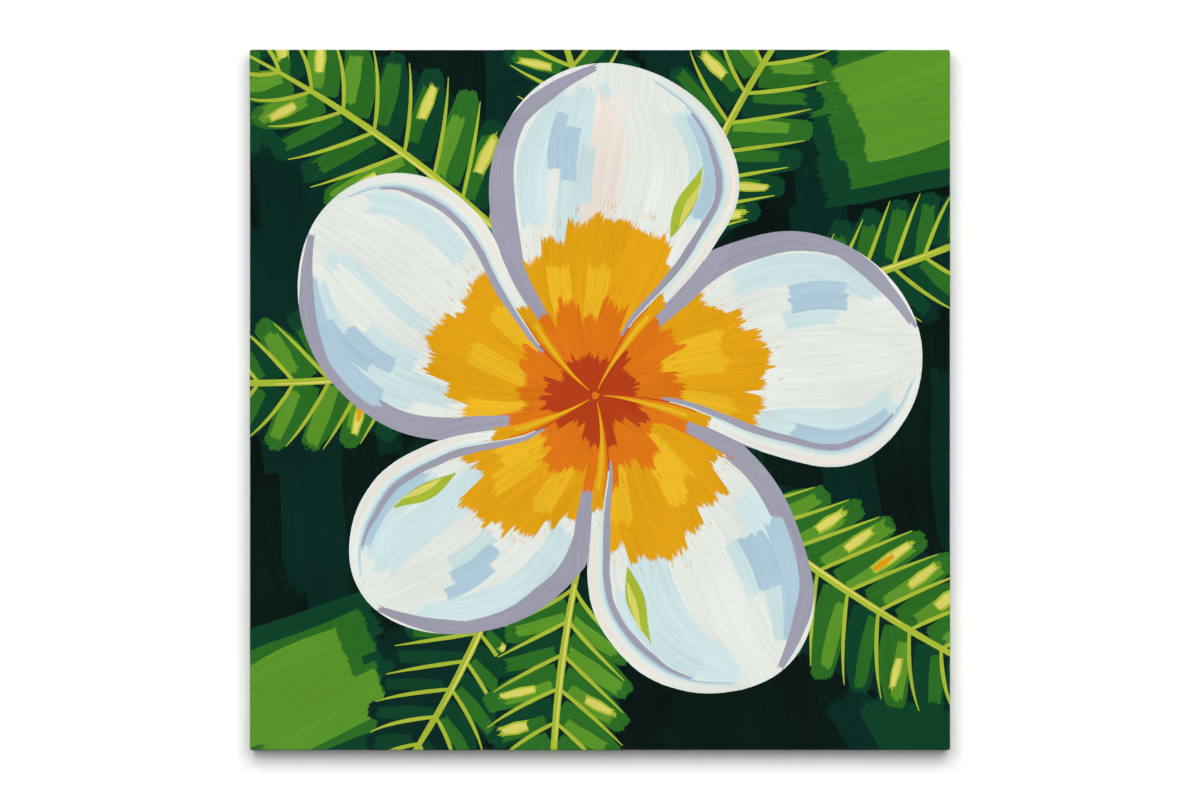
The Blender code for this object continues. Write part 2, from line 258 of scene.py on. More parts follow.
class Wiring:
    """Adds nodes to one shader tree and links them."""

    node_step = 190  # from one node to the next in the editor

    def __init__(self, tree):
        self.tree = tree

    def add(self, kind, **values):
        """A new node. Values are its properties, or its inputs when their names start with in_."""
        node = self.tree.nodes.new(kind)
        for name, value in values.items():
            if name.startswith("in_"):
                self.give(node.inputs[name[3:].replace("_", " ")], value)
            else:
                setattr(node, name, value)
        node.location = (self.node_step * (len(self.tree.nodes) - 1), 0)
        return node

    def give(self, socket, value):
        """Links an output to this input, or sets its value."""
        if isinstance(value, bpy.types.NodeSocket):
            self.tree.links.new(value, socket)
        else:
            socket.default_value = value

    def math(self, operation, *values, clamp=False):
        node = self.add("ShaderNodeMath", operation=operation, use_clamp=clamp)
        for socket, value in zip(node.inputs, values):
            self.give(socket, value)
        return node.outputs[0]

    def blend(self, first, weight, second, other_weight):
        """The sum of two values, each with its weight."""
        return self.math("MULTIPLY_ADD", first, weight, self.math("MULTIPLY", second, other_weight))

    def mix(self, share, first, second):
        """Between two colours."""
        node = self.add("ShaderNodeMix", data_type="RGBA")
        self.give(node.inputs[0], share)
        self.give(node.inputs[6], first)
        self.give(node.inputs[7], second)
        return node.outputs[2]

    def spread(self, value, low, high, to_low=0.0, to_high=1.0):
        """The value's range from low to high, stretched to another and held inside it."""
        node = self.add("ShaderNodeMapRange")
        for socket, part in zip(node.inputs, (value, low, high, to_low, to_high)):
            self.give(socket, part)
        return node.outputs[0]

    def scaled(self, vector, size):
        node = self.add("ShaderNodeVectorMath", operation="MULTIPLY")
        self.give(node.inputs[0], vector)
        self.give(node.inputs[1], size)
        return node.outputs[0]

    def noise(self, vector, scale, detail=2.0, roughness=0.5):
        node = self.add(
            "ShaderNodeTexNoise", in_Scale=scale, in_Detail=detail, in_Roughness=roughness
        )
        self.give(node.inputs["Vector"], vector)
        return node.outputs[0]

    def map(self, name):
        return self.add("ShaderNodeUVMap", uv_map=name).outputs[0]

    def place(self):
        """Where the surface lies in its own piece."""
        return self.add("ShaderNodeTexCoord").outputs["Object"]

    def axes(self, vector):
        """The three parts of a vector."""
        node = self.add("ShaderNodeSeparateXYZ")
        self.give(node.inputs[0], vector)
        return node.outputs

    def bump(self, height, strength, distance):
        return self.add(
            "ShaderNodeBump", in_Height=height, in_Strength=strength, in_Distance=distance
        ).outputs[0]


def new_group(name, inputs, outputs):
    """A shader node group with these sockets, each a name and a kind, or a value's default."""
    tree = bpy.data.node_groups.new(name, "ShaderNodeTree")
    kinds = {"vector": "NodeSocketVector", "colour": "NodeSocketColor"}
    for direction, sockets in (("INPUT", inputs), ("OUTPUT", outputs)):
        for label, kind in sockets.items():
            socket_type = kinds.get(kind, "NodeSocketFloat")
            socket = tree.interface.new_socket(label, in_out=direction, socket_type=socket_type)
            if isinstance(kind, float):
                socket.default_value = kind
    wires = Wiring(tree)
    start = wires.add("NodeGroupInput").outputs
    end = wires.add("NodeGroupOutput").inputs
    return wires, start, end


def weave_group():
    """Plain weave: threads over and under one another, with thick places along them."""
    wires, start, end = new_group(
        "Canvas Weave", {"Flat": "vector", "Pitch": 0.001}, {"Height": "value", "Slub": "value"}
    )
    cloth = start["Flat"]
    # A thick place is about ten times as long as it is wide.
    long, short = 26, 260
    slub = wires.noise(wires.scaled(cloth, (short, long, 1)), 1.0, 2.0)
    slub_across = wires.noise(wires.scaled(cloth, (long, short, 1)), 1.0, 2.0)
    parts = wires.axes(cloth)
    waves = []
    for axis, thick in ((0, slub), (1, slub_across)):
        turns = wires.math("DIVIDE", parts[axis], start["Pitch"])
        moved = wires.math("MULTIPLY_ADD", thick, 0.9, turns)
        waves.append(wires.math("SINE", wires.math("MULTIPLY", moved, math.pi)))
    crossed = wires.math("MULTIPLY", *waves)
    wires.give(end["Height"], wires.math("MULTIPLY_ADD", crossed, 0.5, 0.5))
    wires.give(end["Slub"], wires.math("MULTIPLY", wires.math("ADD", slub, slub_across), 0.5))
    return wires.tree


def brush_group():
    """Marks of a flat brush, along the first axis of a map in metres."""
    wires, start, end = new_group(
        "Brush Marks",
        {"Marks": "vector", "Streak width": 0.001, "Streak length": 0.04},
        {"Streak": "value", "Tone": "value", "Height": "value"},
    )
    across = wires.math("DIVIDE", 1.0, start["Streak width"])
    along = wires.math("DIVIDE", 1.0, start["Streak length"])
    scale = wires.add("ShaderNodeCombineXYZ")
    wires.give(scale.inputs[0], along)
    wires.give(scale.inputs[1], across)
    stretched = wires.scaled(start["Marks"], scale.outputs[0])
    fine = wires.noise(stretched, 1.0, 3.0, 0.65)
    broad = wires.noise(stretched, 0.28, 2.0)
    tone = wires.noise(start["Marks"], 9.0, 1.0)
    both = wires.blend(broad, 0.6, fine, 0.4)
    wires.give(end["Streak"], wires.spread(both, 0.34, 0.66))
    wires.give(end["Tone"], wires.spread(tone, 0.3, 0.7))
    wires.give(end["Height"], wires.blend(fine, 0.7, broad, 0.3))
    return wires.tree


def grain_group():
    """Sawn softwood. The first axis of the vector runs along the piece."""
    wires, start, end = new_group(
        "Wood Grain",
        {"Along": "vector", "Ring": 0.003, "Light": "colour", "Dark": "colour"},
        {"Colour": "colour", "Late wood": "value", "Height": "value"},
    )
    along = start["Along"]
    drift = wires.noise(wires.scaled(along, (2.2, 16, 16)), 1.0, 2.0)
    parts = wires.axes(along)
    # The tree's heart lies outside the bar, so its rings cross the section as shallow arcs.
    heart_side, heart_depth, wander = 30 * MM, 50 * MM, 11 * MM
    side = wires.math("ADD", parts[1], heart_side)
    depth = wires.math("ADD", parts[2], heart_depth)
    squares = wires.math("ADD", wires.math("POWER", side, 2.0), wires.math("POWER", depth, 2.0))
    radius = wires.math("MULTIPLY_ADD", drift, wander, wires.math("SQRT", squares))
    years = wires.math("FRACT", wires.math("DIVIDE", radius, start["Ring"]))
    late = wires.math("POWER", years, 2.4)
    fibre = wires.noise(wires.scaled(along, (18, 900, 900)), 1.0, 3.0, 0.6)
    spots = wires.noise(wires.scaled(along, (7, 30, 30)), 1.0, 3.0)
    share = wires.blend(fibre, 0.45, late, 0.62)
    share = wires.math("MULTIPLY_ADD", wires.math("SUBTRACT", spots, 0.5), 0.5, share)
    wires.give(end["Colour"], wires.mix(wires.spread(share, 0.1, 0.95), start["Light"], start["Dark"]))
    wires.give(end["Late wood"], late)
    wires.give(end["Height"], wires.blend(fibre, 0.6, late, 0.4))
    return wires.tree


def wear_group():
    """Dull spots and fine scratches on metal and rubber."""
    wires, start, end = new_group(
        "Handling Wear", {"Place": "vector"}, {"Spots": "value", "Scratches": "value"}
    )
    spots = wires.noise(start["Place"], 260.0, 4.0, 0.6)
    scratches = wires.noise(wires.scaled(start["Place"], (2600, 340, 700)), 1.0, 2.0)
    wires.give(end["Spots"], wires.spread(spots, 0.45, 0.75))
    wires.give(end["Scratches"], wires.spread(scratches, 0.4, 0.7))
    return wires.tree


GROUP_MAKERS = {
    "Canvas Weave": weave_group,
    "Brush Marks": brush_group,
    "Wood Grain": grain_group,
    "Handling Wear": wear_group,
}


def placed_group(wires, name, **values):
    """The group of this name as a node in a material, made the first time it is asked for."""
    tree = bpy.data.node_groups.get(name) or GROUP_MAKERS[name]()
    node = wires.add("ShaderNodeGroup", node_tree=tree)
    for label, value in values.items():
        wires.give(node.inputs[label.replace("_", " ")], value)
    return node.outputs


def new_material(name, roughness):
    """A material with its wiring and its Principled shader."""
    material = bpy.data.materials.new(name)
    material.use_nodes = True
    shader = material.node_tree.nodes["Principled BSDF"]
    shader.inputs["Roughness"].default_value = roughness
    return material, Wiring(material.node_tree), shader.inputs


def paint(name):
    """One of the palette's paints: flat acrylic with the marks of the brush in it."""
    found = bpy.data.materials.get(f"paint_{name}")
    if found:
        return found
    brush, cloth = settings().brush, settings().cloth
    colour = getattr(settings().palette, name)
    # Dark paint shows its marks as a lighter green: its lighter tone is lifted a little towards green.
    dark_paint_green_lift = np.array((0.001, 0.009, 0.006)) * (1 - np.array(linear(colour)[:3])) ** 12
    lighter, darker = tinted(colour, 0.965, dark_paint_green_lift), tinted(colour, 0.75)
    material, wires, shader = new_material(f"paint_{name}", 0.5)
    shader["Specular IOR Level"].default_value = 0.08
    marks = placed_group(
        wires,
        "Brush Marks",
        Marks=wires.map("brush"),
        Streak_width=brush.streak,
        Streak_length=brush.streak_length,
    )
    weave = placed_group(wires, "Canvas Weave", Flat=wires.map("flat"), Pitch=cloth.pitch)
    # The streaks follow the ridges of the paint's bump, so this mix is partly the paint's own uneven
    # tone, partly painted highlight on the ridges and painted shade in the grooves.
    share = wires.blend(marks["Streak"], 0.55, marks["Tone"], 0.45)
    wires.give(shader["Base Color"], wires.mix(share, darker, lighter))
    wires.give(shader["Roughness"], wires.spread(marks["Streak"], 0, 1, 0.42, 0.6))
    height = wires.blend(weave["Height"], 0.28, marks["Height"], 0.72)
    wires.give(shader["Normal"], wires.bump(height, 0.6, 0.25 * MM))
    return material


def cloth_material(name, colour, roughness, strength):
    """Woven cotton, raw or primed. Strength is how plainly its weave and its seeds show."""
    cloth = settings().cloth
    material, wires, shader = new_material(name, roughness)
    weave = placed_group(wires, "Canvas Weave", Flat=wires.map("flat"), Pitch=cloth.pitch)
    stains = wires.noise(wires.map("flat"), 22.0, 5.0, 0.7)
    flecks = wires.noise(wires.map("flat"), 420.0, 2.0)
    threads = wires.blend(weave["Slub"], 0.9, stains, 0.25)
    # Colour is lighter where the threads stand up and darker where they dip. The stains and thick
    # places are the cotton's own tone; the dip between the threads is painted shade.
    share = wires.spread(wires.math("MULTIPLY_ADD", weave["Height"], 0.3, threads), 0.4, 0.95)
    cotton_tone_and_weave_shade = wires.mix(share, tinted(colour, 0.72), tinted(colour, 1.04))
    seeds = wires.math("MULTIPLY", wires.spread(flecks, 0.66, 0.74), strength * 0.5)
    wires.give(shader["Base Color"], wires.mix(seeds, cotton_tone_and_weave_shade, tinted(colour, 0.45)))
    height = wires.math("MULTIPLY_ADD", weave["Slub"], 0.5, weave["Height"])
    wires.give(shader["Normal"], wires.bump(height, strength, 0.35 * MM))
    return material


def timber_material(name, light, dark, upright, ring):
    """Wood whose grain runs along X, or along Z on an upright piece."""
    material, wires, shader = new_material(name, 0.62)
    parts = wires.axes(wires.place())
    joined = wires.add("ShaderNodeCombineXYZ")
    order = (2, 0, 1) if upright else (0, 2, 1)
    for socket, axis in zip(joined.inputs, order):
        wires.give(socket, parts[axis])
    grain = placed_group(
        wires, "Wood Grain", Along=joined.outputs[0], Ring=ring, Light=linear(light), Dark=linear(dark)
    )
    wires.give(shader["Base Color"], grain["Colour"])
    wires.give(shader["Roughness"], wires.spread(grain["Late wood"], 0, 1, 0.7, 0.5))
    wires.give(shader["Normal"], wires.bump(grain["Height"], 0.35, 0.4 * MM))
    return material


def metal_material(name, colour, roughness):
    """Plated metal with dull spots and fine scratches."""
    material, wires, shader = new_material(name, roughness)
    shader["Metallic"].default_value = 1.0
    wear = placed_group(wires, "Handling Wear", Place=wires.place())
    tarnish = linear(settings().hardware.tarnish)
    share = wires.math("MULTIPLY", wear["Spots"], 0.55)
    wires.give(shader["Base Color"], wires.mix(share, linear(colour), tarnish))
    rough = wires.math("MULTIPLY_ADD", wear["Scratches"], 0.2, roughness)
    wires.give(shader["Roughness"], rough)
    wires.give(shader["Normal"], wires.bump(wear["Scratches"], 0.2, 0.05 * MM))
    return material


def rubber_material(colour):
    """Matt rubber with dust on it."""
    material, wires, shader = new_material("rubber", 0.7)
    wear = placed_group(wires, "Handling Wear", Place=wires.place())
    dusty = tinted(colour, 2.2, 0.02)
    wires.give(shader["Base Color"], wires.mix(wear["Spots"], linear(colour), dusty))
    wires.give(shader["Roughness"], wires.spread(wear["Spots"], 0, 1, 0.55, 0.85))
    wires.give(shader["Normal"], wires.bump(wear["Spots"], 0.2, 0.1 * MM))
    return material


# From the flat cloth to the stretched one


def quarter():
    """Length of cloth in one turn round an edge."""
    return settings().cloth.edge_radius * math.pi / 2


def fold_lines():
    """How far from the middle the flat cloth is bent, as (start, end) of the two turns."""
    radius = settings().cloth.edge_radius
    first = HALF - radius
    side = BACK_Y - FRONT_Y - 2 * radius
    second = first + quarter() + side
    return (first, first + quarter()), (second, second + quarter())


def flat_reach():
    """From the middle of the flat cloth to its cut edge."""
    return fold_lines()[1][1] + settings().cloth.flap - settings().cloth.edge_radius


def folded(x, z, height):
    """Where places on the flat cloth lie once it is stretched, at these heights over it."""
    radius = settings().cloth.edge_radius
    (first, side_start), (second, flap_start) = fold_lines()
    swapped = np.abs(z) < np.abs(x)
    across, down = np.where(swapped, z, x), np.where(swapped, x, z)
    far_across, far_down = np.abs(across), np.abs(down)
    turn_across = np.clip((far_across - first) / radius, 0, math.pi / 2)
    turn_down = np.clip((far_down - first) / radius, 0, math.pi / 2)
    on_front = np.stack(
        [np.sin(turn_across), -np.cos(turn_across) * np.cos(turn_down), np.sin(turn_down)]
    )
    on_front /= np.linalg.norm(on_front, axis=0)
    # Two sides meet half way round the corner's upright edge.
    lean = np.arctan(np.sin(turn_across))
    turn_back = np.clip((far_down - second) / radius, 0, math.pi / 2)
    on_side = np.stack(
        [np.sin(lean) * np.cos(turn_back), np.sin(turn_back), np.cos(lean) * np.cos(turn_back)]
    )
    past = far_down > side_start
    out = np.where(past, on_side, on_front)
    on_flap = np.maximum(far_down - flap_start, 0)
    held_across = np.minimum(far_across, first) * (1 - on_flap / first)
    held_down = np.minimum(far_down, first) - on_flap
    reach = radius + height
    a = np.copysign(held_across + reach * out[0], across)
    b = np.copysign(held_down + reach * out[2], down)
    depth = np.where(past, np.minimum(far_down, second) - side_start, 0)
    y = FRONT_Y + radius + depth + reach * out[1]
    return np.stack([np.where(swapped, b, a), y, np.where(swapped, a, b) + CENTRE_Z], -1)


def bend_lines():
    """How far from the middle the flat cloth has to be cut, so that it can bend smoothly."""
    # A line just before and after each turn keeps the flat parts' shading flat.
    beside = 0.4 * MM
    lines = [
        (start - beside, *np.linspace(start, end, 5), end + beside) for start, end in fold_lines()
    ]
    return np.concatenate(lines)


# Pieces

CLOTH_CREASE = 35  # angles over which an edge of the cloth, the paint or a fold shows as a crease
PAINT_CREASE = 25
FOLD_CREASE = 60


def placed(name, data):
    """A new object of this mesh, lamp or camera, in the scene."""
    piece = bpy.data.objects.new(name, data)
    bpy.context.scene.collection.objects.link(piece)
    return piece


def new_mesh(name, vertices, faces):
    mesh = bpy.data.meshes.new(name)
    mesh.from_pydata(vertices, [], faces)
    return mesh


def grid_faces(columns, rows):
    """Four-cornered faces between the places of a grid that runs row by row."""
    return [
        (i + j * columns, i + 1 + j * columns, i + 1 + (j + 1) * columns, i + (j + 1) * columns)
        for j in range(rows - 1)
        for i in range(columns - 1)
    ]


def add_map(mesh, name, places):
    """Gives every corner of every face its place on a flat map."""
    mesh.uv_layers.new(name=name).data.foreach_set("uv", places.ravel())


def tube(spine, thickness, sides=4):
    """Places in rings round a spine, and the faces that close them into a thin tube."""
    forward = np.gradient(spine, axis=0)
    forward /= np.linalg.norm(forward, axis=1)[:, None]
    side = np.cross(forward, (0, 1, 0))
    side /= np.linalg.norm(side, axis=1)[:, None]
    up = np.cross(side, forward)
    turns = np.linspace(0, 2 * math.pi, sides, endpoint=False)
    rings = [spine + thickness * (math.cos(a) * side + math.sin(a) * up) for a in turns]
    last = sides * (len(spine) - 1)
    faces = []
    for start in range(0, last, sides):
        for j in range(sides):
            a, b = start + j, start + (j + 1) % sides
            faces.append((a, b, b + sides, a + sides))
    faces += [tuple(reversed(range(sides))), tuple(range(last, last + sides))]
    return np.stack(rings, 1).reshape(-1, 3).tolist(), faces


def finished_piece(name, mesh, materials, sharp):
    """A new piece of this mesh, which rides the picture's body and takes these materials.

    Sharp is the angle in degrees over which an edge shows as a crease.
    """
    for material in materials:
        mesh.materials.append(material)
    mesh.shade_smooth()
    mesh.set_sharp_from_angle(angle=math.radians(sharp))
    piece = placed(name, mesh)
    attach(piece, "root")
    return piece


def thicken(piece, sharp, inner=0):
    """Gives a one-layer piece the cloth's thickness. Inner is the step to its other materials."""
    modifier = piece.modifiers.new("thickness", "SOLIDIFY")
    modifier.thickness = settings().cloth.thickness
    modifier.offset = -1
    modifier.material_offset = inner
    modifier.material_offset_rim = inner
    graph = bpy.context.evaluated_depsgraph_get()
    mesh = bpy.data.meshes.new_from_object(piece.evaluated_get(graph))
    piece.modifiers.clear()
    mesh.set_sharp_from_angle(angle=math.radians(sharp))
    piece.data = mesh


# The brush

Mark = namedtuple("Mark", "colour outlines own")
CLOSEST = 0.02 * MM  # places nearer to each other than this are taken as one
FAR = 90  # how far apart two strokes may lie in the brush marks, so that none is like another


def directions(path):
    """Unit steps along a path, and to its left."""
    forward = np.gradient(path, axis=0)
    forward /= np.maximum(np.hypot(*forward.T), TINY)[:, None]
    return forward, np.stack([-forward[:, 1], forward[:, 0]], 1)


def headings(angle):
    """The unit step in this direction, and the one to its left."""
    forward = np.array((math.cos(angle), math.sin(angle)))
    return forward, np.array((-forward[1], forward[0]))


def bezier(points, count=12):
    """Places along a Bezier curve with these control points."""
    t = np.linspace(0, 1, count)[:, None]
    rows = [np.asarray(point, float)[None] for point in points]
    while len(rows) > 1:
        rows = [a * (1 - t) + b * t for a, b in zip(rows, rows[1:])]
    return rows[0]


def along(path, shift):
    """A function that gives places their own coordinates: along a path, and across it."""
    steps = np.diff(path, axis=0)
    lengths = np.maximum(np.hypot(*steps.T), TINY)
    runs = np.concatenate([[0], np.cumsum(lengths)[:-1]])
    ways = steps / lengths[:, None]
    low, high = np.zeros(len(lengths)), lengths.copy()
    low[0], high[-1] = -np.inf, np.inf

    def own(places):
        off = places[:, None] - path[:-1]
        run = np.sum(off * ways, axis=2)
        side = ways[:, 0] * off[..., 1] - ways[:, 1] * off[..., 0]
        nearest = np.argmin((run - np.clip(run, low, high)) ** 2 + side**2, axis=1)
        rows = np.arange(len(places))
        return np.stack([(runs + run)[rows, nearest], side[rows, nearest]], 1) + shift

    return own


def ragged_end(half, reach, rng, roundness=0.0):
    """The end of a stroke as (forward, sideways) steps, from its left side to its right."""
    fewest, most, clumps = 3, 30, 5
    tufts = int(np.clip(2 * half / settings().brush.bristle, fewest, most))
    spread = np.interp(np.linspace(0, clumps - 1, tufts), range(clumps), rng.uniform(0, 1, clumps))
    tips = reach * (0.62 * spread + 0.38 * rng.uniform(0, 1, tufts))
    share = np.linspace(1, -1, tufts)
    tips += roundness * half * np.sqrt(1 - 0.98 * share**2)
    rows = []
    for i in range(tufts):
        rows.append((tips[i], share[i] * half))
        if i + 1 < tufts:
            notch = min(tips[i], tips[i + 1]) - reach * rng.uniform(0.05, 0.42)
            rows.append((notch, (share[i] + share[i + 1]) / 2 * half))
    return np.array(rows)


def splinters(half, reach, rng):
    """Marks of single bristles past the end of a stroke, as outlines of (forward, sideways)."""
    made = []
    bristle = settings().brush.bristle
    sliver = np.array([(0, 0), (0.3, -1), (1, -0.2), (0.8, 0.9)])
    for _ in range(int(half / bristle * rng.uniform(0.2, 0.7))):
        side = rng.uniform(-0.9, 0.9) * half
        start = reach * rng.uniform(0.75, 1.1)
        size = reach * rng.uniform(0.2, 0.6)
        wide = bristle * rng.uniform(0.1, 0.25)
        made.append(sliver * (size, wide) + (start, side))
    return made


def stroke(colour, path, width, rng, ragged=(0.12, 0.5), taper=(1.0, 1.0), roundness=0.0):
    """One pull of a flat brush along a path.

    Ragged is for its start and its end, as shares of its width. Taper is its width along the
    path, as shares. Roundness bulges its end.
    """
    path = np.asarray(path, float)
    run = np.concatenate([[0], np.cumsum(np.hypot(*np.diff(path, axis=0).T))])
    forward, left = directions(path)
    half = width / 2 * np.interp(run / run[-1], np.linspace(0, 1, len(taper)), taper)
    broad = 2 * half.max()
    sides = []
    for sign in (1, -1):
        # The hand isn't quite steady.
        wave = np.sin(run / broad * rng.uniform(1, 3) + rng.uniform(0, 6.3))
        wavy_half = sign * half * (1 + 0.04 * wave)
        sides.append(path + left * wavy_half[:, None])
    first = ragged_end(half[0], ragged[0] * broad, rng)
    last = ragged_end(half[-1], ragged[1] * broad, rng, roundness)

    def beyond(steps):
        return path[-1] + steps[:, :1] * forward[-1] + steps[:, 1:] * left[-1]

    before = path[0] - first[:, :1] * forward[0] - first[:, 1:] * left[0]
    outlines = [np.concatenate([sides[0], beyond(last), sides[1][::-1], before])]
    if roundness == 0:
        outlines += [beyond(mark) for mark in splinters(half[-1], ragged[1] * broad, rng)]
    return Mark(colour, outlines, along(path, rng.uniform(0, FAR, 2)))


def line(colour, path, width, rng, taper=(0.8, 1.0, 0.8, 0.25)):
    """A thin pull of a liner brush."""
    return stroke(colour, path, width, rng, (0.2, 0.6), taper, 0.5)


def patch(colour, outline, rng, angle=0.0):
    """A filled outline, with brush marks at this angle."""
    turn = np.array([[math.cos(angle), -math.sin(angle)], [math.sin(angle), math.cos(angle)]])
    shift = rng.uniform(0, FAR, 2)
    return Mark(colour, [np.asarray(outline, float)], lambda places: places @ turn + shift)


def covers(outline, places):
    """Which places lie inside an outline, even where it crosses itself."""
    a, b = outline, np.roll(outline, -1, axis=0)
    inside = np.zeros(len(places), bool)
    low, high = a.min(axis=0), a.max(axis=0)
    near = np.flatnonzero(((places > low) & (places < high)).all(axis=1))
    x, z = places[near, :1], places[near, 1:]
    side = (b[:, 0] - a[:, 0]) * (z - a[:, 1]) - (x - a[:, 0]) * (b[:, 1] - a[:, 1])
    rising = (a[:, 1] <= z) & (b[:, 1] > z) & (side > 0)
    falling = (a[:, 1] > z) & (b[:, 1] <= z) & (side < 0)
    inside[near] = rising.sum(axis=1) != falling.sum(axis=1)
    return inside


def uppermost(marks, within, wraps):
    """Cuts overlapping marks into triangles. Gives places, triangles and each one's mark."""
    loops = [outline for mark in marks for outline in mark.outlines]
    if within is not None:
        loops.append(within)
    places, cuts = [], []
    for loop in loops:
        gap = np.hypot(*(loop - np.roll(loop, 1, axis=0)).T)
        loop = loop[gap > CLOSEST]
        first, count = len(places), len(loop)
        cuts += [(first + i, first + (i + 1) % count) for i in range(count)]
        places += [Vector(place) for place in loop]
    if wraps:
        reach = 2 * flat_reach()
        for at in bend_lines():
            for ends in (((-reach, at), (reach, at)), ((at, -reach), (at, reach))):
                for sign in (1, -1):
                    cuts.append((len(places), len(places) + 1))
                    places += [Vector(end) * sign for end in ends]
    everything, nearness = 0, 1e-6
    places, _, triangles, *_ = delaunay_2d_cdt(places, cuts, [], everything, nearness, False)
    places = np.array([tuple(place) for place in places])
    triangles = np.array(triangles)
    middles = places[triangles].mean(axis=1)
    tops = np.full(len(triangles), -1)
    for number, mark in enumerate(marks):
        for outline in mark.outlines:
            tops[covers(outline, middles)] = number
    kept = tops >= 0
    if within is not None:
        kept &= covers(within, middles)
    if wraps:
        kept &= np.abs(middles).min(axis=1) < fold_lines()[0][1]
    return places, triangles[kept], tops[kept]


def lay_paint(name, marks, layer, within=None, wraps=False):
    """One piece of paint: films over one another, each a little higher, down to the cloth.

    Only what shows of each film is made. Layer is the height of the lowest over the cloth and
    the thickness of them all together, in films.
    """
    height, thickness = (films * settings().brush.film for films in layer)
    places, triangles, tops = uppermost(marks, within, wraps)
    starts = triangles.ravel()
    ends = np.roll(triangles, -1, axis=1).ravel()
    owners = np.repeat(tops, 3)
    keys = starts * len(places) + ends
    order = np.argsort(keys)
    other = ends * len(places) + starts
    found = np.clip(np.searchsorted(keys[order], other), 0, len(keys) - 1)
    match = keys[order][found] == other
    beside = np.where(match, owners[order][found], -1)
    step = beside < owners
    a, b, own, low = starts[step], ends[step], owners[step], beside[step]
    # A vertex is one place at the top of one mark. Mark -1 is the cloth itself.
    count = len(marks) + 1
    top_code = triangles * count + tops[:, None] + 1
    wall_code = np.stack(
        [b * count + own + 1, a * count + own + 1, a * count + low + 1, b * count + low + 1], 1
    )
    codes, index = np.unique(
        np.concatenate([top_code.ravel(), wall_code.ravel()]), return_inverse=True
    )
    level = (codes % count) / len(marks)
    over = np.where(codes % count == 0, 0, height + thickness * level)
    x, z = places[codes // count].T
    vertices = folded(x, z, over)
    split = top_code.size
    faces = [*index[:split].reshape(-1, 3).tolist(), *index[split:].reshape(-1, 4).tolist()]
    mesh = new_mesh(name, vertices.tolist(), faces)
    colours = list(dict.fromkeys(mark.colour for mark in marks))
    tint = np.array([colours.index(mark.colour) for mark in marks])
    mesh.polygons.foreach_set("material_index", tint[np.concatenate([tops, own])])
    loop_places = np.concatenate([triangles.ravel(), np.stack([b, a, a, b], 1).ravel()])
    loop_marks = np.concatenate([owners, np.repeat(own, 4)])
    spots = places[loop_places]
    brushed = np.zeros_like(spots)
    for number in np.unique(loop_marks):
        chosen = loop_marks == number
        brushed[chosen] = marks[number].own(spots[chosen])
    low_corner, high_corner = spots.min(axis=0), spots.max(axis=0)
    margin = 0.005
    size = (high_corner - low_corner).max() * (1 + 2 * margin)
    add_map(mesh, "OFBake", (spots - low_corner) / size + margin)
    add_map(mesh, "flat", spots)
    add_map(mesh, "brush", brushed)
    materials = [paint(colour) for colour in colours]
    return finished_piece(name, mesh, materials, PAINT_CREASE)


# The painted flower


